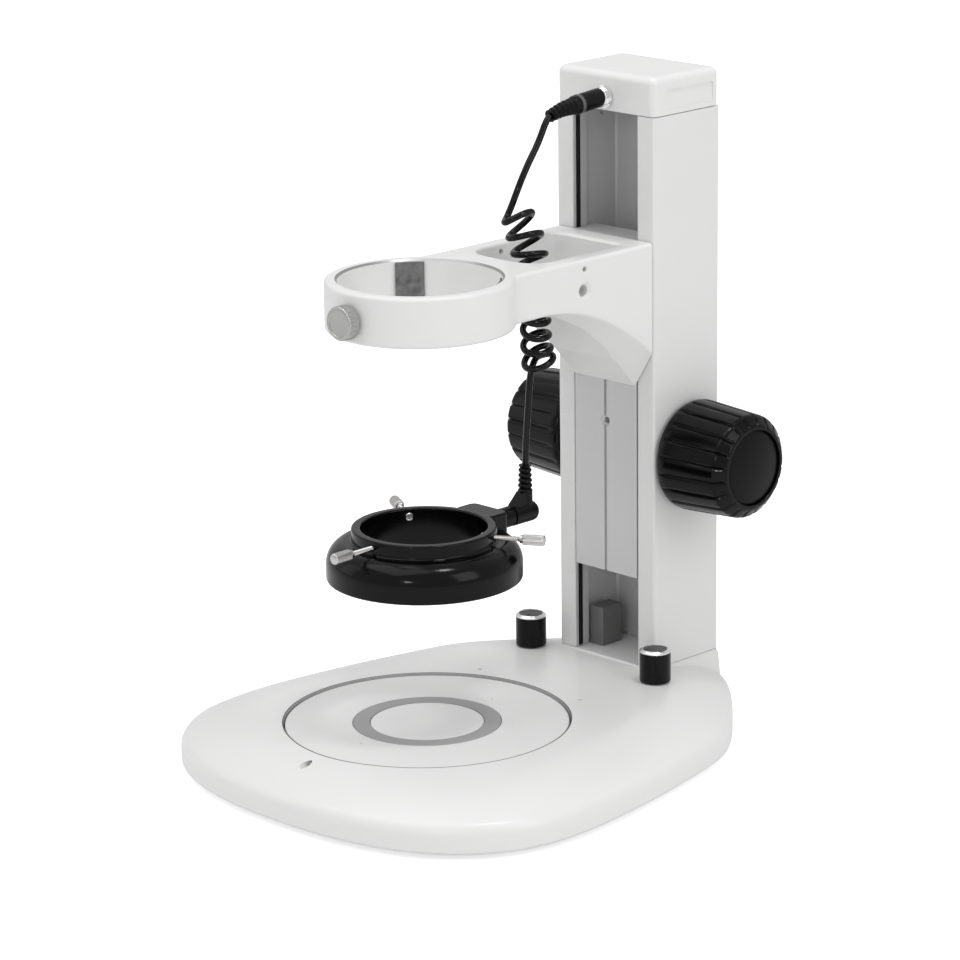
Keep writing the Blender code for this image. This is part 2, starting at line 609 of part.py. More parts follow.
def arm_section(y):
    """Cross-section of the arm's neck at distance y behind the optical axis."""
    sweep = clamp((y - NECK_START) / (ARM_BACK - AXIS_Y - NECK_START))
    side = ARM_UNDER + 0.0012 - 0.0309 * sweep ** 2.2
    low = ARM_UNDER - 0.0480 * sweep ** 1.9
    half = ARM_HALF + 0.0035 * clamp((0.040 - y) / 0.020) ** 2
    inner = half - 0.002 - 0.0092 * clamp((y - NECK_START) / 0.040)
    edge = ARM_EDGE
    right = [(inner, low), (half, side), (half, ARM_TOP - edge),
             (half - edge * 0.3, ARM_TOP - edge * 0.3), (half - edge, ARM_TOP)]
    points = right + [(-x, z) for x, z in reversed(right)]
    return [Vector((x, AXIS_Y + y, z)) for x, z in points]


def clamp(share):
    return min(max(share, 0.0), 1.0)


def pocket_loop(draft, z):
    """Outline of the cable pocket: square behind, round in front, narrower by `draft`."""
    half = 0.0225 - draft
    back = AXIS_Y + 0.1125 - draft * 2
    front = AXIS_Y + 0.0515 + draft
    nose = 0.0125
    points = [(half, back - 0.004), (half - 0.0012, back - 0.0012), (half - 0.004, back)]
    points += [(-x, y) for x, y in reversed(points)]
    bow = [(1.0, 1.0), (0.93, 0.55), (0.66, 0.17), (0.3, 0.0)]
    points += [(-half * out, front + nose * rise) for out, rise in bow]
    points += [(half * out, front + nose * rise) for out, rise in reversed(bow)]
    return [Vector((x, y, z)) for x, y in points]


def make_arm(body, paint):
    edge = ARM_EDGE
    ring = turned([(ARM_RING - edge, ARM_UNDER), (ARM_RING, ARM_UNDER + edge), (ARM_RING, ARM_TOP - edge),
                   (ARM_RING - edge * 0.3, ARM_TOP - edge * 0.3), (ARM_RING - edge, ARM_TOP)], 48)
    arm = add_part("focus_arm", ring, body, paint, at=(0, AXIS_Y, 0))
    stations = (0.016, 0.024, 0.032, 0.045, 0.058, 0.070, 0.080, 0.090, 0.099, 0.108, 0.116,
                ARM_BACK - AXIS_Y)
    neck = skin([arm_section(y) for y in stations])
    carve(arm, "tool_neck", neck, operation="UNION")
    bore = turned([(ARM_BORE, ARM_UNDER - 0.002), (ARM_BORE, ARM_TOP - 0.001),
                   (ARM_BORE + 0.0015, ARM_TOP + 0.0005)], 48)
    carve(arm, "tool_arm_bore", bore, at=(0, AXIS_Y, 0))
    pocket = skin([pocket_loop(0.0, ARM_TOP + 0.001), pocket_loop(0.003, BASE_TOP + 0.135)])
    carve(arm, "tool_pocket", pocket)
    drill_arm(arm)


def drill_arm(arm):
    """Clamp screw way, two blind threads at the back and two small holes in the right cheek."""
    clamp_way = turned([(CLAMP_HOLE, 0.008), (CLAMP_HOLE, 0.0035), (0.0041, 0.0035), (0.0041, -0.001)], 24)
    carve(arm, "tool_clamp_hole", clamp_way, at=(0, AXIS_Y - ARM_BORE, CLAMP_Z), aim=(0, -1, 0))
    threads = []
    for side in (-1, 1):
        thread = turned([(0.0026, -0.001), (0.0026, 0.0075)], 16)
        threads.append(shifted(thread, side * ARM_SCREW_X, ARM_BACK, ARM_SCREW_Z, aim=(0, -1, 0)))
    carve(arm, "tool_arm_threads", together(*threads))
    cheek = []
    for bottom, mouth, z in ((0.0012, 0.0016, 0.2083), (0.0028, 0.0042, 0.1980)):
        hole = turned([(bottom, -0.006), (bottom, bottom - mouth), (mouth, 0.0), (mouth, 0.001)], 20)
        cheek.append(shifted(hole, ARM_HALF, AXIS_Y + 0.077, BASE_TOP + z, aim=(1, 0, 0)))
    carve(arm, "tool_cheek_holes", together(*cheek))


def make_arm_fittings(body, steel, bare):
    for side, word in ((-1, "left"), (1, "right")):
        screw = turned([(0.0023, -0.0065), (0.0023, 0.0108), (0.0046, 0.0108), (0.0046, 0.0148)], 24)
        at = (side * ARM_SCREW_X, SLIDER_FRONT, ARM_SCREW_Z)
        add_part(f"arm_screw_{word}", screw, body, steel, at=at, aim=(0, 1, 0))
    spread = 10.5
    for middle, word in ((143, "left"), (37, "right")):
        outer = arc(0, 0, ARM_BORE - GAP, middle - spread, middle + spread, 4)
        inner = arc(0, 0, ARM_BORE - 0.0014, middle + spread, middle - spread, 4)
        pad = prism(outer + inner, ARM_UNDER + 0.002, ARM_TOP - 0.0012)
        add_part(f"clamp_pad_{word}", pad, body, bare, at=(0, AXIS_Y, 0))


# ------------------------------------------------------------------ ring light
def ring_light_profile():
    """Half section: bore, collar, rounded shoulder, outer wall and the trough underneath."""
    profile = [(LIGHT_BORE, LIGHT_BOTTOM), (LIGHT_BORE, LIGHT_TOP - 0.0005),
               (LIGHT_BORE + 0.0005, LIGHT_TOP), (COLLAR_RADIUS - 0.0008, LIGHT_TOP),
               (COLLAR_RADIUS, LIGHT_TOP - 0.0008), (COLLAR_RADIUS, LIGHT_SHOULDER)]
    across, down = LIGHT_RADIUS - COLLAR_RADIUS - 0.001, 0.0105
    for i in range(1, 5):
        angle = math.radians(22.5 * i)
        profile.append((LIGHT_RADIUS - across + across * math.sin(angle),
                        LIGHT_SHOULDER - down + down * math.cos(angle)))
    profile += [(LIGHT_RADIUS, LIGHT_BOTTOM + 0.0008), (LIGHT_RADIUS - 0.0008, LIGHT_BOTTOM),
                (TROUGH_OUTER, LIGHT_BOTTOM), (TROUGH_OUTER, LIGHT_BOTTOM + TROUGH_DEPTH),
                (TROUGH_INNER, LIGHT_BOTTOM + TROUGH_DEPTH), (TROUGH_INNER, LIGHT_BOTTOM)]
    return profile


def make_ring_light(body, black, board, lens):
    shape = turned(ring_light_profile(), 40, wrap=True)
    housing = add_part("ring_light_housing", shape, body, black, at=(0, AXIS_Y, 0))
    outline = rounded_box(-BOSS_HALF, BOSS_HALF, AXIS_Y + 0.0315, BOSS_END, 0.0035)
    boss = prism(outline, LIGHT_BOTTOM + TROUGH_DEPTH + 0.001, LIGHT_TOP)
    carve(housing, "tool_boss", boss, operation="UNION")
    holes = []
    for angle in THUMB_ANGLES:
        outward = (math.cos(math.radians(angle)), math.sin(math.radians(angle)), 0)
        hole = turned([(0.0016, LIGHT_BORE - 0.002), (0.0016, COLLAR_RADIUS + 0.002)], 16)
        holes.append(shifted(hole, 0, AXIS_Y, THUMB_Z, aim=outward))
    carve(housing, "tool_thumb_holes", together(*holes))
    plug_hole = turned([(0.003, -0.008), (0.003, 0.001)], 20)
    carve(housing, "tool_plug_hole", plug_hole, at=(0, BOSS_END, PLUG_Z), aim=(0, 1, 0))
    inner, outer = TROUGH_INNER + GAP, TROUGH_OUTER - GAP
    leds = tube_ring(inner, outer, LIGHT_BOTTOM + 0.0095, LIGHT_BOTTOM + 0.011, 36)
    add_part("ring_led_board", leds, body, board, at=(0, AXIS_Y, 0))
    window = tube_ring(inner, outer, LIGHT_BOTTOM + 0.0006, LIGHT_BOTTOM + 0.0021, 36)
    add_part("ring_lens", window, body, lens, at=(0, AXIS_Y, 0))


def make_thumbscrew(number, angle, tip_body, screw_body, steel):
    """A knurled screw and the loose tip that it pushes against the objective."""
    outward = Vector((math.cos(math.radians(angle)), math.sin(math.radians(angle)), 0))
    at = (0, AXIS_Y, THUMB_Z)
    tip = turned([(0.0012, 0.0274), (0.0019, 0.0277), (0.0019, 0.0287)], 16)
    add_part(f"thumbscrew_tip_{number}", tip, tip_body, steel, at=at, aim=outward)
    screw = turned([(0.0013, 0.0290), (0.0013, 0.0474), (0.0024, 0.0474), (0.0027, 0.0478),
                    (0.0027, 0.0574), (0.0024, 0.0578)], 20)
    add_part(f"thumbscrew_{number}", screw, screw_body, steel, at=at, aim=outward)


def make_arm_clamp(tip_body, screw_body, steel, brass):
    at = (0, AXIS_Y, CLAMP_Z)
    tip = turned([(0.0030, 0.0361), (0.0036, 0.0364), (0.0036, 0.0376)], 20)
    add_part("arm_clamp_tip", tip, tip_body, brass, at=at, aim=(0, -1, 0))
    screw = turned([(0.0030, 0.0379), (0.0030, 0.0445), (0.0054, 0.0445), (0.0054, 0.0454),
                    (0.0076, 0.0454), (0.0080, 0.0458), (0.0080, 0.0511), (0.0076, 0.0515)], 32)
    add_part("arm_clamp_screw", screw, screw_body, steel, at=at, aim=(0, -1, 0))


# ------------------------------------------------------------------ dimmers
def make_dimmer(word, side, fixed, turning, plastic, trim, metal):
    at = (side * DIMMER_X, DIMMER_Y, 0)
    spindle_radius = 0.0030
    bore = spindle_radius + GAP
    pot_bottom, pot_top = CEILING - 0.009, CEILING - GAP
    pot = turned([(bore, pot_bottom), (0.0080, pot_bottom), (0.0080, pot_top), (0.0035, pot_top),
                  (0.0035, BASE_TOP - 0.0005), (bore, BASE_TOP - 0.0005)], 24, wrap=True)
    add_part(f"dimmer_pot_{word}", pot, fixed, metal, at=at)
    spindle = turned([(spindle_radius, CEILING - 0.008), (spindle_radius, BASE_TOP + 0.011)], 24)
    add_part(f"dimmer_spindle_{word}", spindle, turning, metal, at=at)
    foot = BASE_TOP + 0.0005
    top = foot + DIMMER_HEIGHT
    rim, seat = top - 0.0016, top - 0.0035
    knob = turned([(bore, foot), (DIMMER_RADIUS - 0.0003, foot), (DIMMER_RADIUS, foot + 0.0003),
                   (DIMMER_RADIUS, rim), (0.0060, rim), (0.0060, seat), (bore, seat)], 24, wrap=True)
    add_part(f"dimmer_knob_{word}", knob, turning, plastic, at=at)
    cap = turned([(0.0057, seat + GAP), (0.0057, rim + GAP), (DIMMER_RADIUS, rim + GAP),
                  (DIMMER_RADIUS - 0.0011, top - 0.0002), (DIMMER_RADIUS - 0.0016, top)], 24)
    add_part(f"dimmer_cap_{word}", cap, turning, trim, at=at)


# ------------------------------------------------------------------ cord
def on_axis(route):
    """Cord routes lie in the stand's middle plane."""
    return [Vector((0, AXIS_Y + y, BASE_TOP + z)) for y, z in route]


def make_upper_plug(stand, rubber):
    """Plug in the cap's socket, its tail drooping to the cord."""
    body_end = 0.0172
    collar = COLUMN_FRONT - 0.0042 - GAP
    stem = [Vector((0, collar, SOCKET_Z)), Vector((0, collar - body_end, SOCKET_Z - 0.0016)),
            Vector((0, collar - body_end - 0.009, SOCKET_Z - 0.0030)),
            Vector((0, AXIS_Y + 0.0866, BASE_TOP + 0.2754))]
    aims = (Vector((0, -1, 0)), stem[1] - stem[0], stem[2] - stem[1], stem[3] - stem[2])
    sizes = (PLUG_RADIUS, PLUG_RADIUS, 0.0040, 0.0032)
    rings = []
    for centre, aim, radius in zip(stem, aims, sizes):
        turn = turn_to(aim)
        rings.append([centre + turn @ point for point in circle(radius, 0, 20)])
    add_part("cord_plug_upper", skin(rings), stand, rubber)


def make_lower_plug(carriage, rubber):
    """Right-angle plug: level barrel in the boss, upright collar and tapering relief."""
    at = (0, PLUG_Y, PLUG_Z)
    barrel = turned([(0.0048, BOSS_END + GAP - PLUG_Y), (0.0048, 0.0034), (0.0041, 0.0048),
                     (0.0028, 0.0056)], 24)
    elbow = add_part("cord_plug_lower", shifted(barrel, aim=(0, 1, 0)), carriage, rubber, at=at)
    riser = turned([(0.0034, -0.001), (0.0034, 0.0104), (0.0030, 0.0232)], 20)
    carve(elbow, "tool_plug_riser", riser, at=at, operation="UNION")


def make_cord(stand, carriage, rubber):
    make_upper_plug(stand, rubber)
    add_tube("cord_upper_lead", smooth_through(on_axis(UPPER_ROUTE), 2), CORD_RADIUS, stand, rubber)
    add_tube("cord_coil", smooth_through(on_axis(COIL_ROUTE), 1), COIL_RADIUS, carriage, rubber,
             resolution=3)
    add_tube("cord_lower_lead", smooth_through(on_axis(LOWER_ROUTE), 2), CORD_RADIUS, carriage, rubber)
    make_lower_plug(carriage, rubber)


# ------------------------------------------------------------------ assembly
def main():
    clear_scene()
    white_paint = make_finish("white_paint", (0.86, 0.86, 0.85), 0.35)
    plate_white = make_finish("plate_white", (0.82, 0.82, 0.81), 0.5)
    ring_grey = make_finish("ring_grey", (0.32, 0.32, 0.32), 0.6)
    frosted = make_finish("frosted_glass", (0.74, 0.74, 0.73), 0.6)
    satin_alloy = make_finish("satin_alloy", (0.62, 0.62, 0.62), 0.4, 0.8)
    bright_steel = make_finish("bright_steel", (0.80, 0.80, 0.80), 0.2, 1.0)
    brass = make_finish("brass", (0.75, 0.6, 0.3), 0.35, 1.0)
    black_plastic = make_finish("black_plastic", (0.015, 0.015, 0.016), 0.35)
    black_enamel = make_finish("black_enamel", (0.012, 0.012, 0.013), 0.25)
    black_rubber = make_finish("black_rubber", (0.012, 0.012, 0.012), 0.5)
    board_green = make_finish("circuit_board", (0.05, 0.22, 0.10), 0.5)
    lens_clear = make_finish("ring_lens", (0.85, 0.86, 0.87), 0.3)
    cover_grey = make_finish("cover_grey", (0.35, 0.35, 0.36), 0.5, 0.6)

    stand = make_body("stand")
    carriage = make_body("carriage")
    drive = make_body("drive", (0, SHAFT_Y, SHAFT_Z))
    make_base(stand, white_paint)
    make_base_fittings(stand, cover_grey, black_rubber, bright_steel, board_green)
    make_stage(stand, plate_white, ring_grey, frosted)
    make_column(stand, white_paint)
    make_column_fittings(stand, black_plastic, satin_alloy, brass, bright_steel, black_rubber)
    make_cap(stand, white_paint)
    make_drive(drive, bright_steel, black_plastic, black_plastic)
    make_slider(carriage, satin_alloy)
    make_rack(carriage, bright_steel)
    make_arm(carriage, white_paint)
    make_arm_fittings(carriage, bright_steel, satin_alloy)
    make_ring_light(carriage, black_enamel, board_green, lens_clear)
    clamp_at = (0, AXIS_Y, CLAMP_Z)
    clamp_tip = make_body("clamp_tip", clamp_at)
    clamp_screw = make_body("clamp_screw", clamp_at)
    make_arm_clamp(clamp_tip, clamp_screw, bright_steel, brass)
    for number, angle in enumerate(THUMB_ANGLES, 1):
        tip = make_body(f"tip_{number}", (0, AXIS_Y, THUMB_Z))
        screw = make_body(f"thumb_{number}", (0, AXIS_Y, THUMB_Z))
        make_thumbscrew(number, angle, tip, screw, bright_steel)
    for word, side in (("left", -1), ("right", 1)):
        turning = make_body(f"dimmer_{word}", (side * DIMMER_X, DIMMER_Y, BASE_TOP))
        make_dimmer(word, side, stand, turning, black_plastic, bright_steel, satin_alloy)
    make_cord(stand, carriage, black_rubber)


main()
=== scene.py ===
"""Looks of the microscope track stand: fine surfaces, finishes, light and camera on the CAD frame."""
import math

import bmesh
import bpy
from mathutils import Matrix, Vector


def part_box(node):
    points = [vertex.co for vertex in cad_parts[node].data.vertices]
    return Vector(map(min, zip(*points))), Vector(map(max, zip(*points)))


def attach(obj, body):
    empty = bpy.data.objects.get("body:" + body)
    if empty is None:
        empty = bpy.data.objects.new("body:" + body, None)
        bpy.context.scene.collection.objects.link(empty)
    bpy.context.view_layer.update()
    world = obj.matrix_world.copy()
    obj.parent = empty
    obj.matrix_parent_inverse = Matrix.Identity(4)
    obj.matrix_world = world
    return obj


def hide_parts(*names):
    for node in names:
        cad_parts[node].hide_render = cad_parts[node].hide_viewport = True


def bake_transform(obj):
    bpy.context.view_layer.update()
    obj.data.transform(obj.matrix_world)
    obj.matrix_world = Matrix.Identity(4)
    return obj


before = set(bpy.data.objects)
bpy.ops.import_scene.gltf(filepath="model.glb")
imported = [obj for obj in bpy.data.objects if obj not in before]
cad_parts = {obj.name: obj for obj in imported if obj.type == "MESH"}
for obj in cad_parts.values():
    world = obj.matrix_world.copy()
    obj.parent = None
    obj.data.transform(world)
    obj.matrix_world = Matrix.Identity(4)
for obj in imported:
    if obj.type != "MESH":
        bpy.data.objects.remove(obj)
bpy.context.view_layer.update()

# ---- places read from the frame
window_low, window_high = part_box("stage_window")
base_low, base_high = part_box("base_casting")
column_low, column_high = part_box("column_extrusion")
cap_low, cap_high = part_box("column_cap")
shaft_low, shaft_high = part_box("focus_shaft")
slider_low, slider_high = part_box("slider_block")
arm_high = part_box("focus_arm")[1]
light_low, light_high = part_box("ring_light_housing")

AXIS_Y = (window_low[1] + window_high[1]) / 2
STAGE_SINK = 0.0011            # the stage's face lies this far below the base's top
BASE_TOP = window_high[2] + STAGE_SINK
BASE_BOTTOM = base_low[2]
COLUMN_HALF = column_high[0]
COLUMN_FRONT = column_low[1]
COLUMN_BACK = column_high[1]
SHAFT_Y = (shaft_low[1] + shaft_high[1]) / 2
SHAFT_Z = (shaft_low[2] + shaft_high[2]) / 2
ARM_TOP = arm_high[2]
ARM_BACK = arm_high[1]
LIGHT_BOTTOM = light_low[2]
LIGHT_TOP = light_high[2]
UP = Vector((0, 0, 1))
DIMMER_X, DIMMER_BACK = 0.0417, 0.1134         # a dimmer's place: half spacing, behind the optical axis
LEAD_X, LEAD_BACK = 0.012, 0.1598              # where the lead rises into the column
INLET_AT = (-0.012, COLUMN_BACK, BASE_TOP + 0.030)
FINISHES = {}                  # filled by make_finishes


# ---- shapes
def turn_to(aim):
    """The shortest turn that takes +Z to `aim`."""
    return UP.rotation_difference(Vector(aim)).to_matrix().to_4x4()


def placed(shape, at=(0, 0, 0), aim=(0, 0, 1)):
    """Move a shape to `at`, with its own +Z along `aim`."""
    bmesh.ops.transform(shape, matrix=Matrix.Translation(at) @ turn_to(aim), verts=shape.verts)
    return shape


def skin(rings, wrap=False):
    """A closed shape over rings of points; wrap joins the last ring to the first."""
    shape = bmesh.new()
    loops = [[shape.verts.new(point) for point in ring] for ring in rings]
    pairs = list(zip(loops, loops[1:]))
    if wrap:
        pairs.append((loops[-1], loops[0]))
    else:
        shape.faces.new(loops[0])
        shape.faces.new(loops[-1])
    for low, high in pairs:
        for i, corner in enumerate(low):
            j = (i + 1) % len(low)
            shape.faces.new((corner, low[j], high[j], high[i]))
    bmesh.ops.recalc_face_normals(shape, faces=shape.faces)
    return shape


def circle(radius, z, steps):
    """A ring of points about Z."""
    turns = [math.tau * i / steps for i in range(steps)]
    return [Vector((radius * math.cos(t), radius * math.sin(t), z)) for t in turns]


def turned(profile, steps=96, wrap=False):
    """A solid of revolution about Z from (radius, z) points."""
    return skin([circle(radius, z, steps) for radius, z in profile], wrap)


def arc(cx, cy, radius, start, end, steps):
    """Points on an arc, in degrees from +X."""
    angles = [math.radians(start + (end - start) * i / steps) for i in range(steps + 1)]
    return [(cx + radius * math.cos(a), cy + radius * math.sin(a)) for a in angles]


def rounded_box(x0, x1, y0, y1, radius, steps=8):
    """Outline of a rectangle with round corners, counter-clockwise."""
    outline = arc(x1 - radius, y0 + radius, radius, -90, 0, steps)
    outline += arc(x1 - radius, y1 - radius, radius, 0, 90, steps)
    outline += arc(x0 + radius, y1 - radius, radius, 90, 180, steps)
    outline += arc(x0 + radius, y0 + radius, radius, 180, 270, steps)
    return outline


def quarter_turn(steps):
    """(sine, cosine) pairs from 0 to 90 degrees, for round edges."""
    angles = [math.radians(90 * k / steps) for k in range(steps + 1)]
    return [(math.sin(a), math.cos(a)) for a in angles]


def on_axis(shape):
    """Move a shape made about Z to the optical axis."""
    return placed(shape, at=(0, AXIS_Y, 0))


def raised(outline, z):
    """The points of an outline at height z."""
    return [Vector((x, y, z)) for x, y in outline]


def prism(outline, z0, z1):
    return skin([raised(outline, z0), raised(outline, z1)])


def box(x0, x1, y0, y1, z0, z1):
    return prism([(x0, y0), (x1, y0), (x1, y1), (x0, y1)], z0, z1)


def add_object(name, data):
    item = bpy.data.objects.new(name, data)
    bpy.context.scene.collection.objects.link(item)
    return item


def combine(shape, tool, operation="DIFFERENCE"):
    """Boolean of two closed shapes, as a new bmesh."""
    objects = []
    for part in (shape, tool):
        mesh = bpy.data.meshes.new("scratch")
        part.to_mesh(mesh)
        part.free()
        objects.append(add_object("scratch", mesh))
    modifier = objects[0].modifiers.new("cut", "BOOLEAN")
    modifier.operation = operation
    modifier.object = objects[1]
    bpy.context.view_layer.update()
    result = bmesh.new()
    result.from_object(objects[0], bpy.context.evaluated_depsgraph_get())
    for item in objects:
        mesh = item.data
        bpy.data.objects.remove(item, do_unlink=True)
        bpy.data.meshes.remove(mesh)
    return result


def drilled(shape, profile, steps, at, aim=(0, 0, 1)):
    """Cut a turned hole, its profile given as (radius, distance along `aim`)."""
    return combine(shape, placed(turned(profile, steps), at, aim))


def smooth_through(points, steps, closed=False):
    """Catmull-Rom curve through the points."""
    points = [Vector(p) for p in points]
    count = len(points)
    curve = []
    for i in range(count if closed else count - 1):
        if closed:
            p0, p1, p2, p3 = (points[(i + k) % count] for k in (-1, 0, 1, 2))
        else:
            p1, p2 = points[i], points[i + 1]
            p0 = points[i - 1] if i else 2 * p1 - p2
            p3 = points[i + 2] if i + 2 < count else 2 * p2 - p1
        for k in range(steps):
            t = k / steps
            curve.append(0.5 * (2 * p1 + (p2 - p0) * t + (2 * p0 - 5 * p1 + 4 * p2 - p3) * t * t
                                + (3 * p1 - p0 - 3 * p2 + p3) * t * t * t))
    if not closed:
        curve.append(points[-1])
    return curve


def swept(points, radii, sides):
    """A closed tube along points, with a radius at each."""
    count = len(points)
    tangents = [(points[min(i + 1, count - 1)] - points[max(i - 1, 0)]).normalized() for i in range(count)]
    across = tangents[0].orthogonal().normalized()
    rings = []
    for i, (point, tangent) in enumerate(zip(points, tangents)):
        if i:
            across = tangents[i - 1].rotation_difference(tangent) @ across
            across = (across - tangent * across.dot(tangent)).normalized()
        other = tangent.cross(across)
        loop = []
        for k in range(sides):
            turn = math.tau * k / sides
            loop.append(point + (across * math.cos(turn) + other * math.sin(turn)) * radii[i])
        rings.append(loop)
    return skin(rings)


def add_piece(name, shape, finish, body, slot, *nodes, sharp=32, bevel=0.0, even=True):
    """Make the shape an object that rides on a body and stands for the given CAD nodes."""
    mesh = bpy.data.meshes.new(name)
    shape.to_mesh(mesh)
    shape.free()
    mesh.shade_smooth()
    mesh.set_sharp_from_angle(angle=math.radians(sharp))
    mesh.materials.append(FINISHES[finish])
    item = add_object(name, mesh)
    if bevel:
        soften(item, bevel)
    if even:
        shading = item.modifiers.new("even_shading", "WEIGHTED_NORMAL")
        shading.keep_sharp = True
    if body:
        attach(item, body)
    if nodes:
        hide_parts(*nodes)
    return item


def paint_faces(item, finish, chosen):
    """Give the faces whose centre and normal pass the test a second finish."""
    item.data.materials.append(FINISHES[finish])
    for face in item.data.polygons:
        if chosen(face.center, face.normal):
            face.material_index = 1


def soften(item, width):
    """Round the sharp edges a little, as a finished edge is."""
    rounding = item.modifiers.new("soft_edges", "BEVEL")
    rounding.width = width
    rounding.segments = 3
    rounding.limit_method = "ANGLE"
    rounding.angle_limit = math.radians(40)
    rounding.harden_normals = False


# ---- finishes
def link(source, output, target, slot):
    """Join one shader node's output to another's input."""
    source.id_data.links.new(source.outputs[output], target.inputs[slot])


def add_node(tree, kind, **inputs):
    """A new shader node with inputs set by name; an underscore stands for a space."""
    node = tree.nodes.new(kind)
    for name, value in inputs.items():
        node.inputs[name.replace("_", " ")].default_value = value
    return node


def make_finish(name, colour, roughness, metallic=0.0, vary=0.1, grain=1500, bump=0.05,
                rough_vary=0.05, specular=0.5, coat=0.0, coat_roughness=0.1, stretch=(1, 1, 1), cloud=18.0):
    """A Principled finish whose colour, roughness and fine relief vary a little over the surface.

    A plain grey is given as one number in place of a colour.
    """
    if isinstance(colour, float):
        colour = (colour, colour, colour)
    finish = bpy.data.materials.new(name)
    finish.use_nodes = True
    tree = finish.node_tree
    shader = tree.nodes["Principled BSDF"]
    shader.inputs["Metallic"].default_value = metallic
    shader.inputs["Specular IOR Level"].default_value = specular
    shader.inputs["Coat Weight"].default_value = coat
    shader.inputs["Coat Roughness"].default_value = coat_roughness
    place = add_node(tree, "ShaderNodeTexCoord")
    spread = add_node(tree, "ShaderNodeMapping", Scale=stretch)
    link(place, "Object", spread, "Vector")

    tone = add_node(tree, "ShaderNodeTexNoise", Scale=cloud, Detail=4.0)
    link(spread, "Vector", tone, "Vector")
    ramp = add_node(tree, "ShaderNodeValToRGB")
    ramp.color_ramp.elements[0].position = 0.3
    ramp.color_ramp.elements[1].position = 0.7
    ramp.color_ramp.elements[0].color = (*[c * (1 - vary) for c in colour], 1.0)
    ramp.color_ramp.elements[1].color = (*[min(c * (1 + vary), 1.0) for c in colour], 1.0)
    link(tone, "Fac", ramp, "Fac")
    link(ramp, "Color", shader, "Base Color")

    fine = add_node(tree, "ShaderNodeTexNoise", Scale=grain, Detail=3.0)
    link(spread, "Vector", fine, "Vector")
    sheen = add_node(tree, "ShaderNodeMapRange", To_Min=max(roughness - rough_vary, 0.02),
                     To_Max=roughness + rough_vary)
    link(fine, "Fac", sheen, "Value")
    link(sheen, "Result", shader, "Roughness")
    relief = add_node(tree, "ShaderNodeBump", Strength=bump, Distance=0.0004)
    link(fine, "Fac", relief, "Height")
    link(relief, "Normal", shader, "Normal")
    return finish


def make_finishes():
    """All the finishes, by the short names that the pieces use."""
    return {
        "enamel": make_finish("white_enamel", (0.82, 0.82, 0.815), 0.34, vary=0.008, grain=900,
                              coat=0.15, coat_roughness=0.18),
        "column": make_finish("column_enamel", (0.79, 0.79, 0.785), 0.42, vary=0.008, grain=1200),
        "channel": make_finish("channel_bare", 0.68, 0.42, 0.2, vary=0.05, grain=900, bump=0.06,
                               stretch=(1, 1, 0.05)),
        "plate": make_finish("stage_white", (0.81, 0.81, 0.805), 0.45, vary=0.01, bump=0.03),
        "ring_grey": make_finish("window_ring_grey", 0.36, 0.55, vary=0.05, grain=2500, bump=0.08),
        "frosted": make_finish("frosted_window", (0.84, 0.84, 0.835), 0.5, vary=0.02, grain=2600, bump=0.06,
                               coat=0.3, coat_roughness=0.3),
        "alloy": make_finish("satin_alloy", 0.61, 0.40, 0.3, vary=0.03, grain=900, bump=0.04,
                             stretch=(1, 1, 0.06)),
        "block": make_finish("stop_block", 0.22, 0.45, 0.5, vary=0.06, grain=1200, bump=0.06),
        # painted shadow: a dark strip that stands for the shade in the gap round the stage
        "mouth_shadow": make_finish("painted_mouth_shadow", 0.09, 0.6, grain=900, bump=0.02),
        # painted shade: mid-grey on the wall of the stage recess, standing for the shade that falls there
        "recess": make_finish("recess_painted_shade", 0.47, 0.5, vary=0.06, grain=900, bump=0.03),
        "bare_edge": make_finish("bare_metal", 0.40, 0.36, 0.8, vary=0.06),
        "pad": make_finish("clamp_pad", 0.17, 0.42, 0.6, vary=0.35, grain=1400, bump=0.10, cloud=260.0),
        "nickel": make_finish("nickel", (0.62, 0.61, 0.60), 0.24, 1.0, vary=0.05, bump=0.04),
        "brushed": make_finish("brushed_nickel", (0.50, 0.50, 0.49), 0.34, 1.0, vary=0.08, grain=1600,
                               bump=0.08),
        "chrome": make_finish("chrome", 0.85, 0.12, 1.0, vary=0.02, grain=900, bump=0.01),
        "trim": make_finish("dimmer_trim", 0.86, 0.26, 1.0, vary=0.02, grain=1200, bump=0.01),
        "brass": make_finish("brass", (0.72, 0.52, 0.24), 0.32, 1.0, vary=0.05, grain=1400, bump=0.04),
        "knob": make_finish("knob_black", (0.0012, 0.0012, 0.0013), 0.16, grain=1800, bump=0.04,
                            specular=0.20),
        "knob_cap": make_finish("knob_cap_black", (0.0015, 0.0015, 0.0016), 0.38, vary=0.12, grain=2200,
                                bump=0.08, specular=0.16),
        "gloss": make_finish("gloss_black", (0.0012, 0.0012, 0.0013), 0.10, grain=1200, bump=0.02,
                             specular=0.20),
        "disc": make_finish("dimmer_disc", (0.05, 0.05, 0.052), 0.34, 0.6, grain=2000),
        "enamel_black": make_finish("black_enamel", (0.0012, 0.0012, 0.0013), 0.15, grain=1600, bump=0.04,
                                    specular=0.20),
        "rubber": make_finish("black_rubber", 0.0015, 0.30, vary=0.15, grain=2400, bump=0.08,
                              specular=0.20),
        "jacket": make_finish("cord_jacket", 0.0012, 0.12, bump=0.02, specular=0.30),
        "band": make_finish("plug_band", 0.10, 0.35, vary=0.08, bump=0.03),
        "strip": make_finish("glide_strip", 0.008, 0.5, grain=2000, bump=0.06, specular=0.30),
        "board": make_finish("circuit_board", (0.03, 0.16, 0.07), 0.4, vary=0.15, grain=1200),
        "lens": make_finish("milky_lens", (0.78, 0.79, 0.80), 0.25, vary=0.02, bump=0.03),
        "cover": make_finish("cover_grey", (0.30, 0.30, 0.31), 0.45, 0.6, vary=0.05, bump=0.06),
    }


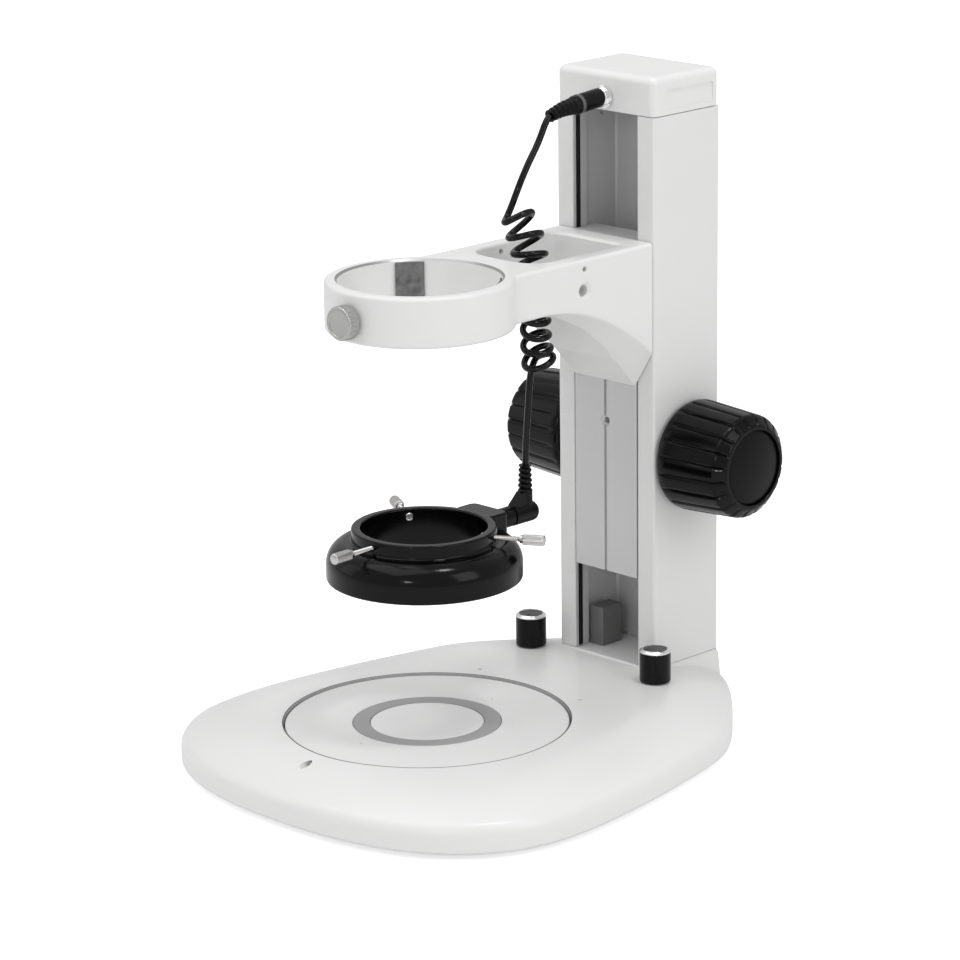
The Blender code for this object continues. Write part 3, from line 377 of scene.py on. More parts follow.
# ---- camera
def add_camera():
    """At the photograph's angle, looking at a point above the stage's back edge."""
    azimuth, elevation, roll = math.radians(45.042), math.radians(15.793), math.radians(-0.734)
    distance = 1.8791
    aim_back, aim_high, aim_left = 0.040, 0.108416, 0.001987
    right = Vector((math.cos(azimuth), math.sin(azimuth), 0))
    back = Vector((math.sin(azimuth) * math.cos(elevation), -math.cos(azimuth) * math.cos(elevation),
                   math.sin(elevation)))
    up = back.cross(right)
    tilted_right = right * math.cos(roll) + up * math.sin(roll)
    tilted_up = up * math.cos(roll) - right * math.sin(roll)
    target = Vector((0, AXIS_Y + aim_back, BASE_TOP + aim_high)) - right * aim_left
    data = bpy.data.cameras.new("camera")
    data.lens = 149.78
    data.sensor_width = 36.0
    camera = add_object("camera", data)
    turn = Matrix((tilted_right, tilted_up, back)).transposed().to_4x4()
    camera.matrix_world = Matrix.Translation(target + back * distance) @ turn
    bpy.context.scene.camera = camera


# ---- cord and plugs
# Cord routes as (x, y from the optical axis, height above the base's top).
UPPER_ROUTE = (
    (0, 0.0861, 0.2753), (0, 0.0846, 0.2744), (0, 0.0824, 0.2708), (0, 0.0783, 0.2637), (0, 0.0721, 0.2556),
    (-0.0002, 0.0677, 0.2488), (-0.0008, 0.0648, 0.2428), (-0.0024, 0.0630, 0.2364),
    (-0.0047, 0.0620, 0.2305),
)
LOWER_ROUTE = (
    (-0.0015, 0.0765, 0.1602), (0, 0.0722, 0.1555), (0, 0.0712, 0.1495), (0, 0.0697, 0.1350),
    (0, 0.0683, 0.1200), (0, 0.0678, 0.1100),
)
# Curly stretch: turns, y and z of the loop's centre, loop radius, degrees it leans up to the
# camera's right and up to the back.
COIL_KNOTS = (
    (0.00, 0.0606, 0.2330, 0.0066, 40, -10), (0.50, 0.0642, 0.2286, 0.0070, 33, -12),
    (1.00, 0.0678, 0.2236, 0.0073, 25, -12), (2.00, 0.0714, 0.2146, 0.0077, 18, -10),
    (3.00, 0.0733, 0.2055, 0.0074, 10, 0), (4.00, 0.0745, 0.1968, 0.0070, 6, 8),
    (7.00, 0.0757, 0.1752, 0.0065, 4, 17), (8.00, 0.0760, 0.1678, 0.0066, 10, 16),
    (9.00, 0.0772, 0.1601, 0.0070, 20, 17), (9.50, 0.0778, 0.1582, 0.0072, 22, 17),
    (9.75, 0.0778, 0.1580, 0.0064, 22, 17),
)
COIL_START = 225             # degrees round the loop where the upper lead comes in
LEAN_RIGHT, LEAN_BACK = 45, 135
CORD_RADIUS = 0.0016
CORD_STEP = 0.0012
SOCKET_Z = BASE_TOP + 0.2795
PLUG_Y = AXIS_Y + 0.0675
PLUG_Z = BASE_TOP + 0.087
BOSS_END = AXIS_Y + 0.0448


def above_base(route):
    """Route points from the optical axis and the base's top."""
    return [Vector((x, AXIS_Y + y, BASE_TOP + z)) for x, y, z in route]


def between_knots(turn):
    """The coil's five measures at a number of turns, in proportion between its knots."""
    for low, high in zip(COIL_KNOTS, COIL_KNOTS[1:]):
        if turn <= high[0]:
            break
    share = (turn - low[0]) / (high[0] - low[0])
    return [a + (b - a) * share for a, b in zip(low[1:], high[1:])]


def coil_points(per_turn=26, skipped=3):
    """Left-handed loops that hang unevenly, each leaning its own way."""
    count = int(COIL_KNOTS[-1][0] * per_turn)
    points = []
    for i in range(skipped, count + 1):
        turn = COIL_KNOTS[-1][0] * i / count
        y, z, radius, right, back = between_knots(turn)
        angle = math.radians(COIL_START) + math.tau * turn
        lean = math.tan(math.radians(right)) * math.cos(angle - math.radians(LEAN_RIGHT))
        lean += math.tan(math.radians(back)) * math.cos(angle - math.radians(LEAN_BACK))
        points.append((radius * math.cos(angle), y + radius * math.sin(angle), z + radius * lean))
    return above_base(points)


def evenly(points, step):
    """The same line with its points a fixed step apart."""
    lengths = [0.0]
    for a, b in zip(points, points[1:]):
        lengths.append(lengths[-1] + (b - a).length)
    count = round(lengths[-1] / step)
    line, index = [], 0
    for i in range(count + 1):
        along = lengths[-1] * i / count
        while index < len(lengths) - 2 and lengths[index + 1] < along:
            index += 1
        share = (along - lengths[index]) / (lengths[index + 1] - lengths[index])
        line.append(points[index].lerp(points[index + 1], share))
    return line


def relaxed(points, passes):
    """Soften the joins of a line; its ends stay."""
    for _ in range(passes):
        middle = [(a + 2 * b + c) / 4 for a, b, c in zip(points, points[1:], points[2:])]
        points = [points[0], *middle, points[-1]]
    return points


def add_cord():
    """One tube: upper lead, curly stretch through the arm, lower lead."""
    path = smooth_through(above_base(UPPER_ROUTE), 6) + coil_points()
    path += smooth_through(above_base(LOWER_ROUTE), 6)
    path = relaxed(evenly(path, CORD_STEP), 8)
    cord = add_piece("curly_cord", swept(path, [CORD_RADIUS] * len(path), 14), "jacket", None,
                     "black_rubber", sharp=80, even=False)
    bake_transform(cord)
    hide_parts("cord_upper_lead", "cord_coil", "cord_lower_lead")


def relief_radii(count, thick, thin, ribs, depth):
    """Radii of a tapering strain relief with ribs round it."""
    radii = []
    for i in range(count):
        share = i / (count - 1)
        wave = 0.5 + 0.5 * math.cos(math.tau * ribs * share)
        groove = depth * (1 - wave ** 0.5)
        radii.append(thick + (thin - thick) * share - groove)
    return radii


def add_upper_plug():
    """Round plug pushed in the socket on the cap, its tail drooping to the cord."""
    collar = COLUMN_FRONT - 0.0045
    body_end = collar - 0.0172
    nose = Vector((0, collar, SOCKET_Z))
    shoulder = Vector((0, body_end, SOCKET_Z - 0.0016))
    tail = Vector((0, AXIS_Y + 0.0864, BASE_TOP + 0.2753))
    stations = [(0.0, 0.0036), (0.0, 0.0044), (0.03, 0.0046), (0.60, 0.0046), (0.63, 0.0043),
                (0.66, 0.0043), (0.69, 0.0046), (0.95, 0.0046), (1.0, 0.0043)]
    points = [nose.lerp(shoulder, share) for share, _ in stations]
    points[0] = nose + Vector((0, 0.0002, 0))
    body = swept(points, [radius for _, radius in stations], 48)
    plug = add_piece("lamp_plug_upper", body, "rubber", "stand", "black_rubber", "cord_plug_upper")
    ring_points = [nose.lerp(shoulder, share) for share in (0.74, 0.745, 0.85, 0.855)]
    band = add_piece("lamp_plug_band", swept(ring_points, [0.0046, 0.00475, 0.00475, 0.0046], 48),
                     "band", "stand", "black_rubber")
    steps = 72
    way = smooth_through([shoulder, shoulder.lerp(tail, 0.5) + Vector((0, 0, 0.0006)), tail], steps // 2)
    relief = swept(way, relief_radii(len(way), 0.0042, 0.0031, 6, 0.0010), 32)
    tail_piece = add_piece("lamp_plug_relief", relief, "rubber", "stand", "black_rubber", sharp=70)
    return [plug, band, tail_piece]


def add_lower_plug():
    """Right-angle plug: socket sleeve and barrel, chamfered knee, upright collar with ribs."""
    at = (0, PLUG_Y, PLUG_Z)
    sleeve = BOSS_END + 0.0003 - PLUG_Y
    barrel = turned([(0.0046, sleeve), (0.0049, sleeve + 0.0004), (0.0049, -0.0110), (0.0043, -0.0108),
                     (0.0043, -0.0102), (0.0050, -0.0099), (0.0050, 0.0030), (0.0047, 0.0044),
                     (0.0040, 0.0053), (0.0030, 0.0057)], 64)
    barrel = placed(barrel, at, (0, 1, 0))
    profile = [(0.0035, 0.0), (0.0035, 0.0102)]
    radii = relief_radii(61, 0.0036, 0.0031, 5, 0.0009)
    profile += [(radius, 0.0106 + 0.0126 * i / 60) for i, radius in enumerate(radii)]
    riser = placed(turned(profile, 48), at)
    web_outline = ((-0.0094, 0.0020), (-0.0088, 0.0046), (-0.0030, 0.0102), (0.0, 0.0102), (0.0, 0.0020))
    web = skin([[Vector((x, PLUG_Y + y, PLUG_Z + z)) for y, z in web_outline] for x in (-0.0028, 0.0028)])
    plug = combine(combine(barrel, riser, "UNION"), web, "UNION")
    return [add_piece("ring_plug", plug, "rubber", "carriage", "black_rubber", "cord_plug_lower",
                      sharp=40)]


# ---- base
BASE_FRONT = AXIS_Y - base_low[1]
BASE_BACK = base_high[1] - AXIS_Y
BASE_HALF_OUTLINE = (
    (0.000, -BASE_FRONT), (0.050, -0.0945), (0.088, -0.0775), (0.110, -0.049), (0.1155, -0.015),
    (0.1115, 0.028), (0.1035, 0.070), (0.0925, 0.108), (0.066, 0.1425), (0.0355, 0.170),
    (0.000, BASE_BACK),
)
DOME_DROP = 0.0095
DOME_RUN = 0.034
SHOULDER_RADIUS = 0.0069
SHOULDER_SWEEP = 65
STAGE_RADIUS = 0.0670
STAGE_SEAM = 0.0009
STAGE_LINE = 0.0006            # width of the painted shadow strip round the stage recess
CEILING = BASE_TOP - 0.0085
SETSCREW_AT = (0, AXIS_Y - STAGE_RADIUS - 0.0022, BASE_TOP - 0.0055)
SETSCREW_AIM = (0, -1, 0.35)


def base_loop(inset, steps=12):
    """The base's outline, moved inwards by `inset`."""
    mirrored = [(-x, y) for x, y in BASE_HALF_OUTLINE[-2:0:-1]]
    knots = [(x, AXIS_Y + y) for x, y in (*BASE_HALF_OUTLINE, *mirrored)]
    loop = smooth_through(knots, steps, closed=True)
    for _ in range(6):
        loop = [(loop[i - 1] + 2 * p + loop[(i + 1) % len(loop)]) / 4 for i, p in enumerate(loop)]
    count = len(loop)
    moved = []
    for i, point in enumerate(loop):
        along = (loop[(i + 1) % count] - loop[i - 1]).normalized()
        moved.append((point.x - along.y * inset, point.y + along.x * inset))
    return moved


def base_rings():
    """(inset, height) pairs from the bottom edge up over the shoulder to the flat top."""
    rim = 0.002
    rings = [(rim * (1 - s), BASE_BOTTOM + rim * (1 - c)) for s, c in quarter_turn(6)]
    sweep = math.radians(SHOULDER_SWEEP)
    wall_top = BASE_TOP - DOME_DROP - SHOULDER_RADIUS * math.sin(sweep)
    for k in range(11):
        a = sweep * k / 10
        rings.append((SHOULDER_RADIUS * (1 - math.cos(a)), wall_top + SHOULDER_RADIUS * math.sin(a)))
    start = rings[-1][0]
    for k in range(1, 25):
        share = k / 24
        rings.append((start + DOME_RUN * share, BASE_TOP - DOME_DROP * (1 - share) ** 2))
    return rings


def add_base():
    """Hollow casting: domed top, pad under the column, recess for the stage with a painted shadow line
    round it.
    """
    base = skin([raised(base_loop(inset), z) for inset, z in base_rings()])
    pad_rings = []
    for outset, z in ((0.0022, BASE_TOP - 0.014), (0.0014, BASE_TOP - 0.005), (0.0009, BASE_TOP - 0.001),
                      (0.0004, BASE_TOP), (0.0001, BASE_TOP + 0.0004), (0.0, BASE_TOP + 0.0008)):
        loop = rounded_box(-COLUMN_HALF - outset, COLUMN_HALF + outset, COLUMN_FRONT - outset,
                           COLUMN_BACK + outset, 0.0015 + outset)
        pad_rings.append(raised(loop, z))
    base = combine(base, skin(pad_rings), "UNION")
    hollow_rings = ((0.0077, BASE_BOTTOM - 0.001), (0.0077, BASE_BOTTOM + 0.0021),
                    (0.014, BASE_BOTTOM + 0.0021), (0.014, CEILING))
    base = combine(base, skin([raised(base_loop(inset, 4), z) for inset, z in hollow_rings]))
    ledge = BASE_TOP - STAGE_SINK - 0.0043
    wall = STAGE_RADIUS + STAGE_SEAM - 0.0002
    opening = 0.058
    recess = turned([(opening, CEILING - 0.002), (opening, ledge), (wall, ledge),
                     (wall, BASE_TOP + 0.0006)], 192)
    base = combine(base, on_axis(recess))
    # the painted shadow strip runs from the recess wall out to this hairline
    line_end = wall + STAGE_LINE
    hair = line_end + 0.00003
    hairline = turned([(line_end, BASE_TOP - 0.001), (hair, BASE_TOP - 0.001), (hair, BASE_TOP + 0.001),
                       (line_end, BASE_TOP + 0.001)], 192, wrap=True)
    base = combine(base, on_axis(hairline))
    pin_x, pin_back = 0.0337, 0.0692
    for x, y, radius in ((-DIMMER_X, DIMMER_BACK, 0.0038), (DIMMER_X, DIMMER_BACK, 0.0038),
                         (-pin_x, pin_back, 0.0012), (pin_x, pin_back, 0.0012), (LEAD_X, LEAD_BACK, 0.002)):
        hole = [(radius, CEILING - 0.001), (radius, BASE_TOP - 0.0003),
                (radius + 0.0006, BASE_TOP + 0.0003), (radius + 0.0006, BASE_TOP + 0.002)]
        base = drilled(base, hole, 32, (x, AXIS_Y + y, 0))
    base = drilled(base, [(0.0022, -0.002), (0.0022, 0.0175)], 32, SETSCREW_AT, SETSCREW_AIM)
    base = add_piece("base_shell", base, "enamel", "stand", "white_paint", "base_casting", sharp=30)
    paint_stage_mouth(base.data, wall, line_end)


def paint_stage_mouth(mesh, wall, line_end):
    """Painted shadow strip and painted shade on the wall at the mouth of the stage recess."""
    strip = len(mesh.materials)
    mesh.materials.append(FINISHES["mouth_shadow"])
    mesh.materials.append(FINISHES["recess"])
    for face in mesh.polygons:
        corners = [mesh.vertices[index].co for index in face.vertices]
        reach = [math.hypot(corner.x, corner.y - AXIS_Y) for corner in corners]
        if min(reach) > wall - 0.0002 and max(reach) < line_end + 0.00001:
            # painted shadow on the level faces, painted shade on the wall faces
            face.material_index = strip if face.normal.z > 0.8 else strip + 1


def add_stage():
    """White plate with a faint scribed circle, grey ring, frosted window."""
    top = BASE_TOP - STAGE_SINK
    foot = top - 0.004
    edge = 0.0003
    groove, depth = 0.0433, 0.00012
    inner = 0.0352
    plate = turned([(inner, foot), (STAGE_RADIUS - edge, foot), (STAGE_RADIUS, foot + edge),
                    (STAGE_RADIUS, top - edge), (STAGE_RADIUS - edge, top), (groove + 0.00025, top),
                    (groove, top - depth), (groove - 0.00025, top), (inner + 0.0002, top),
                    (inner, top - 0.0002)], 192, wrap=True)
    for side in (-1, 1):
        plate = drilled(plate, [(0.0008, top - 0.0006), (0.0008, top + 0.001)], 20, (0, side * groove, 0))
    add_piece("stage_disc", on_axis(plate), "plate", "stand", "plate_white", "stage_plate")
    ring = turned([(0.0270, foot), (0.0349, foot), (0.0349, top - 0.0002), (0.0347, top), (0.0272, top),
                   (0.0270, top - 0.0002)], 160, wrap=True)
    add_piece("window_surround", on_axis(ring), "ring_grey", "stand", "ring_grey", "window_ring")
    glass = turned([(0.0267, foot), (0.0267, top - 0.0004), (0.0264, top - 0.0002), (0.0261, top - 0.0001),
                    (0.010, top - 0.0001), (0.001, top - 0.0001)], 160)
    add_piece("window_glass", on_axis(glass), "frosted", "stand", "frosted_glass", "stage_window")
    screw = turned([(0.0019, 0.0), (0.0019, 0.0056), (0.0016, 0.0060)], 40)
    screw = combine(screw, turned([(0.0009, 0.0045), (0.0009, 0.0065)], 6))
    add_piece("stage_grub_screw", placed(screw, SETSCREW_AT, SETSCREW_AIM), "nickel", "stand",
              "bright_steel", "stage_lock_screw")


def add_feet():
    """Four round rubber pads."""
    for number in range(1, 5):
        node = f"rubber_foot_{number}"
        low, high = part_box(node)
        x, y = (low[0] + high[0]) / 2, (low[1] + high[1]) / 2
        foot = turned([(0.0060, 0.0004), (0.0068, 0.0), (0.0084, 0.0), (0.0090, 0.0005), (0.0095, 0.0026),
                       (0.0095, 0.003), (0.004, 0.003)], 64)
        add_piece(f"foot_pad_{number}", placed(foot, (x, y, 0)), "rubber", "stand", "black_rubber", node)


# ---- dimmers
def add_dimmer(word, side):
    """Black skirted knob, bright bevelled ring, grey disc with a pointer groove."""
    body = f"dimmer_{word}"
    x, y = side * DIMMER_X, AXIS_Y + DIMMER_BACK
    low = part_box(f"dimmer_knob_{word}")[0][2]
    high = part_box(f"dimmer_cap_{word}")[1][2]
    radius = 0.0076
    rim = high - 0.0016
    knob = turned([(0.0033, low), (radius - 0.0005, low), (radius - 0.0001, low + 0.0003),
                   (radius, low + 0.0008), (radius, rim - 0.0003), (radius - 0.0002, rim), (0.0060, rim),
                   (0.0060, rim - 0.0019), (0.0033, rim - 0.0019)], 96, wrap=True)
    add_piece(f"dimmer_grip_{word}", placed(knob, (x, y, 0)), "gloss", body, "black_plastic",
              f"dimmer_knob_{word}")
    ring = turned([(0.0058, rim - 0.0012), (0.0058, rim + 0.0001), (radius + 0.00002, rim + 0.0001),
                   (radius, rim + 0.0005), (radius - 0.0009, rim + 0.0014), (radius - 0.0013, rim + 0.0016),
                   (radius - 0.0017, rim + 0.0014), (radius - 0.0018, rim + 0.0009), (0.0050, rim + 0.0009),
                   (0.0050, rim - 0.0012)], 96, wrap=True)
    add_piece(f"dimmer_ring_{word}", placed(ring, (x, y, 0)), "trim", body, "bright_steel",
              f"dimmer_cap_{word}")
    disc = turned([(0.0050, rim + 0.0003), (0.0057, rim + 0.0010), (0.0056, rim + 0.0012),
                   (0.001, rim + 0.0012)], 96)
    groove = box(-0.0004, 0.0004, -0.0070, -0.0018, rim + 0.0008, rim + 0.002)
    disc = combine(disc, groove)
    angle = 20 if side < 0 else -35
    bmesh.ops.rotate(disc, matrix=Matrix.Rotation(math.radians(angle), 3, "Z"), verts=disc.verts)
    add_piece(f"dimmer_disc_{word}", placed(disc, (x, y, 0)), "disc", body, "satin_alloy")


# ---- column
CHANNEL_HALF = 0.0209
CAVITY_HALF = 0.023
LIP_BACK = COLUMN_FRONT + 0.0095
CAVITY_BACK = COLUMN_FRONT + 0.0328


def add_column():
    """Extrusion: open channel, slots for the glide strips, two long chambers."""
    edge = 0.0015
    half = COLUMN_HALF
    outline = arc(-half + edge, COLUMN_FRONT + edge, edge, 270, 180, 6)
    outline += arc(-half + edge, COLUMN_BACK - edge, edge, 180, 90, 6)
    outline += arc(half - edge, COLUMN_BACK - edge, edge, 90, 0, 6)
    outline += arc(half - edge, COLUMN_FRONT + edge, edge, 0, -90, 6)
    strip, strip_back = COLUMN_FRONT + 0.0022, COLUMN_FRONT + 0.0051
    lip = 0.0004
    inside = [(CHANNEL_HALF + lip, COLUMN_FRONT), (CHANNEL_HALF, COLUMN_FRONT + lip), (CHANNEL_HALF, strip),
              (CHANNEL_HALF + 0.002, strip), (CHANNEL_HALF + 0.002, strip_back), (CHANNEL_HALF, strip_back),
              (CHANNEL_HALF, LIP_BACK), (CAVITY_HALF, LIP_BACK), (CAVITY_HALF, CAVITY_BACK - 0.001),
              (CAVITY_HALF - 0.001, CAVITY_BACK)]
    outline += inside
    outline += [(-x, y) for x, y in reversed(inside)]
    low, high = column_low[2], column_high[2]
    column = prism(outline, low, high)
    for side in (-1, 1):
        chamber = box(*sorted((side * 0.006, side * 0.018)), AXIS_Y + 0.1585, AXIS_Y + 0.1665, low - 0.001,
                      high + 0.001)
        column = combine(column, chamber)
        bore = [(0.0048, 0), (0.0048, 0.012)]
        column = drilled(column, bore, 48, (side * CHANNEL_HALF, SHAFT_Y, SHAFT_Z), (side, 0, 0))
    column = drilled(column, [(0.0043, -0.010), (0.0043, 0.002)], 40, INLET_AT, (0, 1, 0))
    pin_at = (-CAVITY_HALF, AXIS_Y + 0.1465, BASE_TOP + 0.266)
    column = drilled(column, [(0.0012, -0.003), (0.0012, 0.003)], 24, pin_at, (1, 0, 0))
    column = add_piece("column_profile", column, "column", "stand", "white_paint", "column_extrusion",
                       sharp=30)

    def in_channel(centre, normal):
        between = abs(centre.x) < CAVITY_HALF + 0.0001
        inside = COLUMN_FRONT + 0.0005 < centre.y < CAVITY_BACK + 0.0001
        return between and inside and abs(normal.z) < 0.5

    paint_faces(column, "channel", in_channel)


def add_cap():
    """Hollow cover with softly rounded top edges and shallow side panels."""
    half = COLUMN_HALF
    low, high = cap_low[2], cap_high[2]
    edge = 0.0036
    corner = 0.0036
    rings = [(0.0003, low), (0.0, low + 0.0003)]
    rings += [(edge * (1 - c), high - edge + edge * s) for s, c in quarter_turn(8)]
    loops = []
    for inset, z in rings:
        radius = max(corner - inset, 0.0002)
        loop = rounded_box(-half + inset, half - inset, COLUMN_FRONT + inset, COLUMN_BACK - inset, radius)
        loops.append(raised(loop, z))
    cap = skin(loops)
    room = box(-half + 0.005, half - 0.005, COLUMN_FRONT + 0.005, COLUMN_BACK - 0.005, low - 0.001,
               high - 0.005)
    cap = combine(cap, room)
    cap = drilled(cap, [(0.0039, -0.007), (0.0039, 0.002)], 48, (0, COLUMN_FRONT, SOCKET_Z), (0, -1, 0))
    for side in (-1, 1):
        outline = rounded_box(AXIS_Y + 0.133, AXIS_Y + 0.1655, BASE_TOP + 0.2755, BASE_TOP + 0.285, 0.0012)
        panel = skin([[Vector((side * (half + x), y, z)) for y, z in outline] for x in (-0.0006, 0.001)])
        cap = combine(cap, panel)
    add_piece("column_top_cover", cap, "enamel", "stand", "white_paint", "column_cap", sharp=30)


def add_socket():
    """Chromed panel socket: flange, thread and rim."""
    profile = [(0.0024, -0.0105), (0.0036, -0.0105), (0.0036, 0.0003), (0.0054, 0.0003), (0.0056, 0.0006),
               (0.0055, 0.0011), (0.0050, 0.0013)]
    for k in range(5):
        z = 0.0015 + 0.0005 * k
        profile += [(0.0046, z), (0.0048, z + 0.00025)]
    profile += [(0.0047, 0.0040), (0.0045, 0.0042), (0.0034, 0.0042), (0.0030, 0.0038), (0.0024, 0.0036)]
    socket = placed(turned(profile, 96, wrap=True), (0, COLUMN_FRONT, SOCKET_Z), (0, -1, 0))
    add_piece("panel_socket", socket, "chrome", "stand", "bright_steel", "lamp_socket")


def add_inlet():
    """Round bezel in the column's back."""
    profile = [(0.0033, 0.0006), (0.0036, 0.0009), (0.0052, 0.0009), (0.0055, 0.0006), (0.0055, 0.0003),
               (0.0040, 0.0003), (0.0040, -0.009), (0.0033, -0.009)]
    add_piece("inlet_bezel", placed(turned(profile, 72, wrap=True), INLET_AT, (0, 1, 0)), "gloss", "stand",
              "black_plastic", "power_inlet")


# ---- focus knobs
KNOB_FLUTES = 20


def knob_ring(radius, depth, z, per_flute=14):
    """A circle with narrow round-bottomed grooves between wide ribs."""
    ring = []
    for flute in range(KNOB_FLUTES):
        for k in range(per_flute):
            share = k / per_flute
            near = min(abs(share - 0.5) / 0.16, 1.0)
            drop = depth * (0.5 + 0.5 * math.cos(math.pi * near))
            turn = math.tau * (flute + share) / KNOB_FLUTES
            r = radius - drop
            ring.append(Vector((r * math.cos(turn), r * math.sin(turn), z)))
    return ring


def add_knob(word, side):
    """Fluted, tapering grip with a domed cap in its outer face."""
    inner = 0.0323
    outer = 0.0725
    at = (0, SHAFT_Y, SHAFT_Z)
    groove = 0.0009
    stations = [(0.0235, 0.0, inner + 0.0001), (0.0252, 0.0, inner + 0.0003), (0.0264, 0.0, inner + 0.0011),
                (0.0270, 0.0001, inner + 0.0023), (0.0272, groove * 0.4, inner + 0.0040),
                (0.0271, groove * 0.8, inner + 0.0060), (0.0270, groove, inner + 0.0085),
                (0.0254, groove, outer - 0.0056), (0.0251, groove * 1.2, outer - 0.0046),
                (0.0246, groove * 1.5, outer - 0.0038), (0.0238, groove * 1.5, outer - 0.0030),
                (0.0220, groove * 1.3, outer - 0.0016), (0.0212, groove * 0.8, outer - 0.0007),
                (0.0203, 0.0002, outer - 0.0002), (0.0194, 0.0, outer)]
    knob = skin([knob_ring(*station) for station in stations])
    pocket = turned([(0.0033, inner - 0.001), (0.0033, outer - 0.003), (0.0183, outer - 0.003),
                     (0.0183, outer - 0.0004), (0.0188, outer + 0.0004)], 120)
    knob = combine(knob, pocket)
    add_piece(f"focus_grip_{word}", placed(knob, at, (side, 0, 0)), "knob", "focus_drive", "black_plastic",
              f"focus_knob_{word}", sharp=38)
    dome = [(0.0180, outer - 0.0027), (0.0180, outer - 0.0012)]
    for k in range(1, 17):
        share = k / 17
        dome.append((0.0179 * (1 - share), outer - 0.0009 + 0.0021 * (1 - (1 - share) ** 2)))
    cap = placed(turned(dome, 120), at, (side, 0, 0))
    add_piece(f"focus_cap_{word}", cap, "knob_cap", "focus_drive", "black_plastic", f"knob_cap_{word}")


# ---- slider and arm
ARM_BORE = 0.038
ARM_RING = 0.044
ARM_UNDER = BASE_TOP + 0.1895
ARM_HALF = 0.0312
CLAMP_Z = BASE_TOP + 0.2002
ARM_SCREW_X = 0.013
ARM_SCREW_Z = BASE_TOP + 0.190


def add_slider():
    """Block that runs in the channel, with a centre groove and screw holes."""
    front, back = slider_low[1], slider_high[1]
    low, high = slider_low[2], slider_high[2]
    half, wide = 0.0202, slider_high[0]
    shoulder = COLUMN_FRONT + 0.0099
    edge = 0.0004
    groove = 0.0008
    right = [(groove, front + 0.0013), (groove, front + 0.0002), (groove + 0.0002, front),
             (half - edge, front), (half, front + edge), (half, shoulder), (wide, shoulder), (wide, back)]
    outline = right + [(-x, y) for x, y in reversed(right)]
    block = prism(outline, low, high)
    sink = [(0.0016, -0.005), (0.0016, -0.0014), (0.0031, 0.0), (0.0031, 0.001)]
    block = drilled(block, sink, 48, (0, front, BASE_TOP + 0.1208), (0, -1, 0))
    way = [(0.0028, -0.005), (0.0028, 0.0105), (0.005, 0.0105), (0.005, 0.02)]
    for side in (-1, 1):
        block = drilled(block, way, 32, (side * ARM_SCREW_X, front, ARM_SCREW_Z), (0, 1, 0))
    add_piece("slide_block", block, "alloy", "carriage", "satin_alloy", "slider_block", sharp=30)


def arm_section(y):
    """Cross-section of the arm's neck at distance y behind the optical axis."""
    sweep = min(max((y - 0.045) / (0.1227 - 0.045), 0.0), 1.0)
    side = ARM_UNDER + 0.0012 - 0.0309 * sweep ** 2.2
    low = ARM_UNDER - 0.0480 * sweep ** 1.9
    half = ARM_HALF + 0.0035 * min(max((0.040 - y) / 0.020, 0.0), 1.0) ** 2
    inner = half - 0.002 - 0.0092 * min(max((y - 0.045) / 0.040, 0.0), 1.0)
    edge = 0.0018
    corner = Vector((half, side))
    toward_low = (Vector((inner, low)) - corner).normalized() * 0.0012
    right = [(inner - 0.0012, low), (inner, low + 0.0004)]
    right += [tuple(corner + toward_low), tuple(corner + toward_low * 0.3 + Vector((0, 0.0003))),
              (half, side + 0.0012)]
    right += [(half - edge + edge * c, ARM_TOP - edge + edge * s) for s, c in quarter_turn(6)]
    points = right + [(-x, z) for x, z in reversed(right)]
    return [Vector((x, AXIS_Y + y, z)) for x, z in points]


def pocket_loop(draft, z):
    """Outline of the cable pocket: square behind, round in front, narrower by `draft`."""
    half = 0.0225 - draft
    back = AXIS_Y + 0.1125 - draft * 2
    front = AXIS_Y + 0.0515 + draft
    nose = 0.0125
    corner = 0.005
    right = arc(half - corner, back - corner, corner, 90, 0, 8)
    for k in range(13):
        a = math.radians(90 * k / 12)
        right.append((half * math.cos(a) ** 0.55, front + nose * (1 - math.sin(a) ** 1.1)))
    points = right + [(-x, y) for x, y in reversed(right[:-1])]
    return raised(points, z)


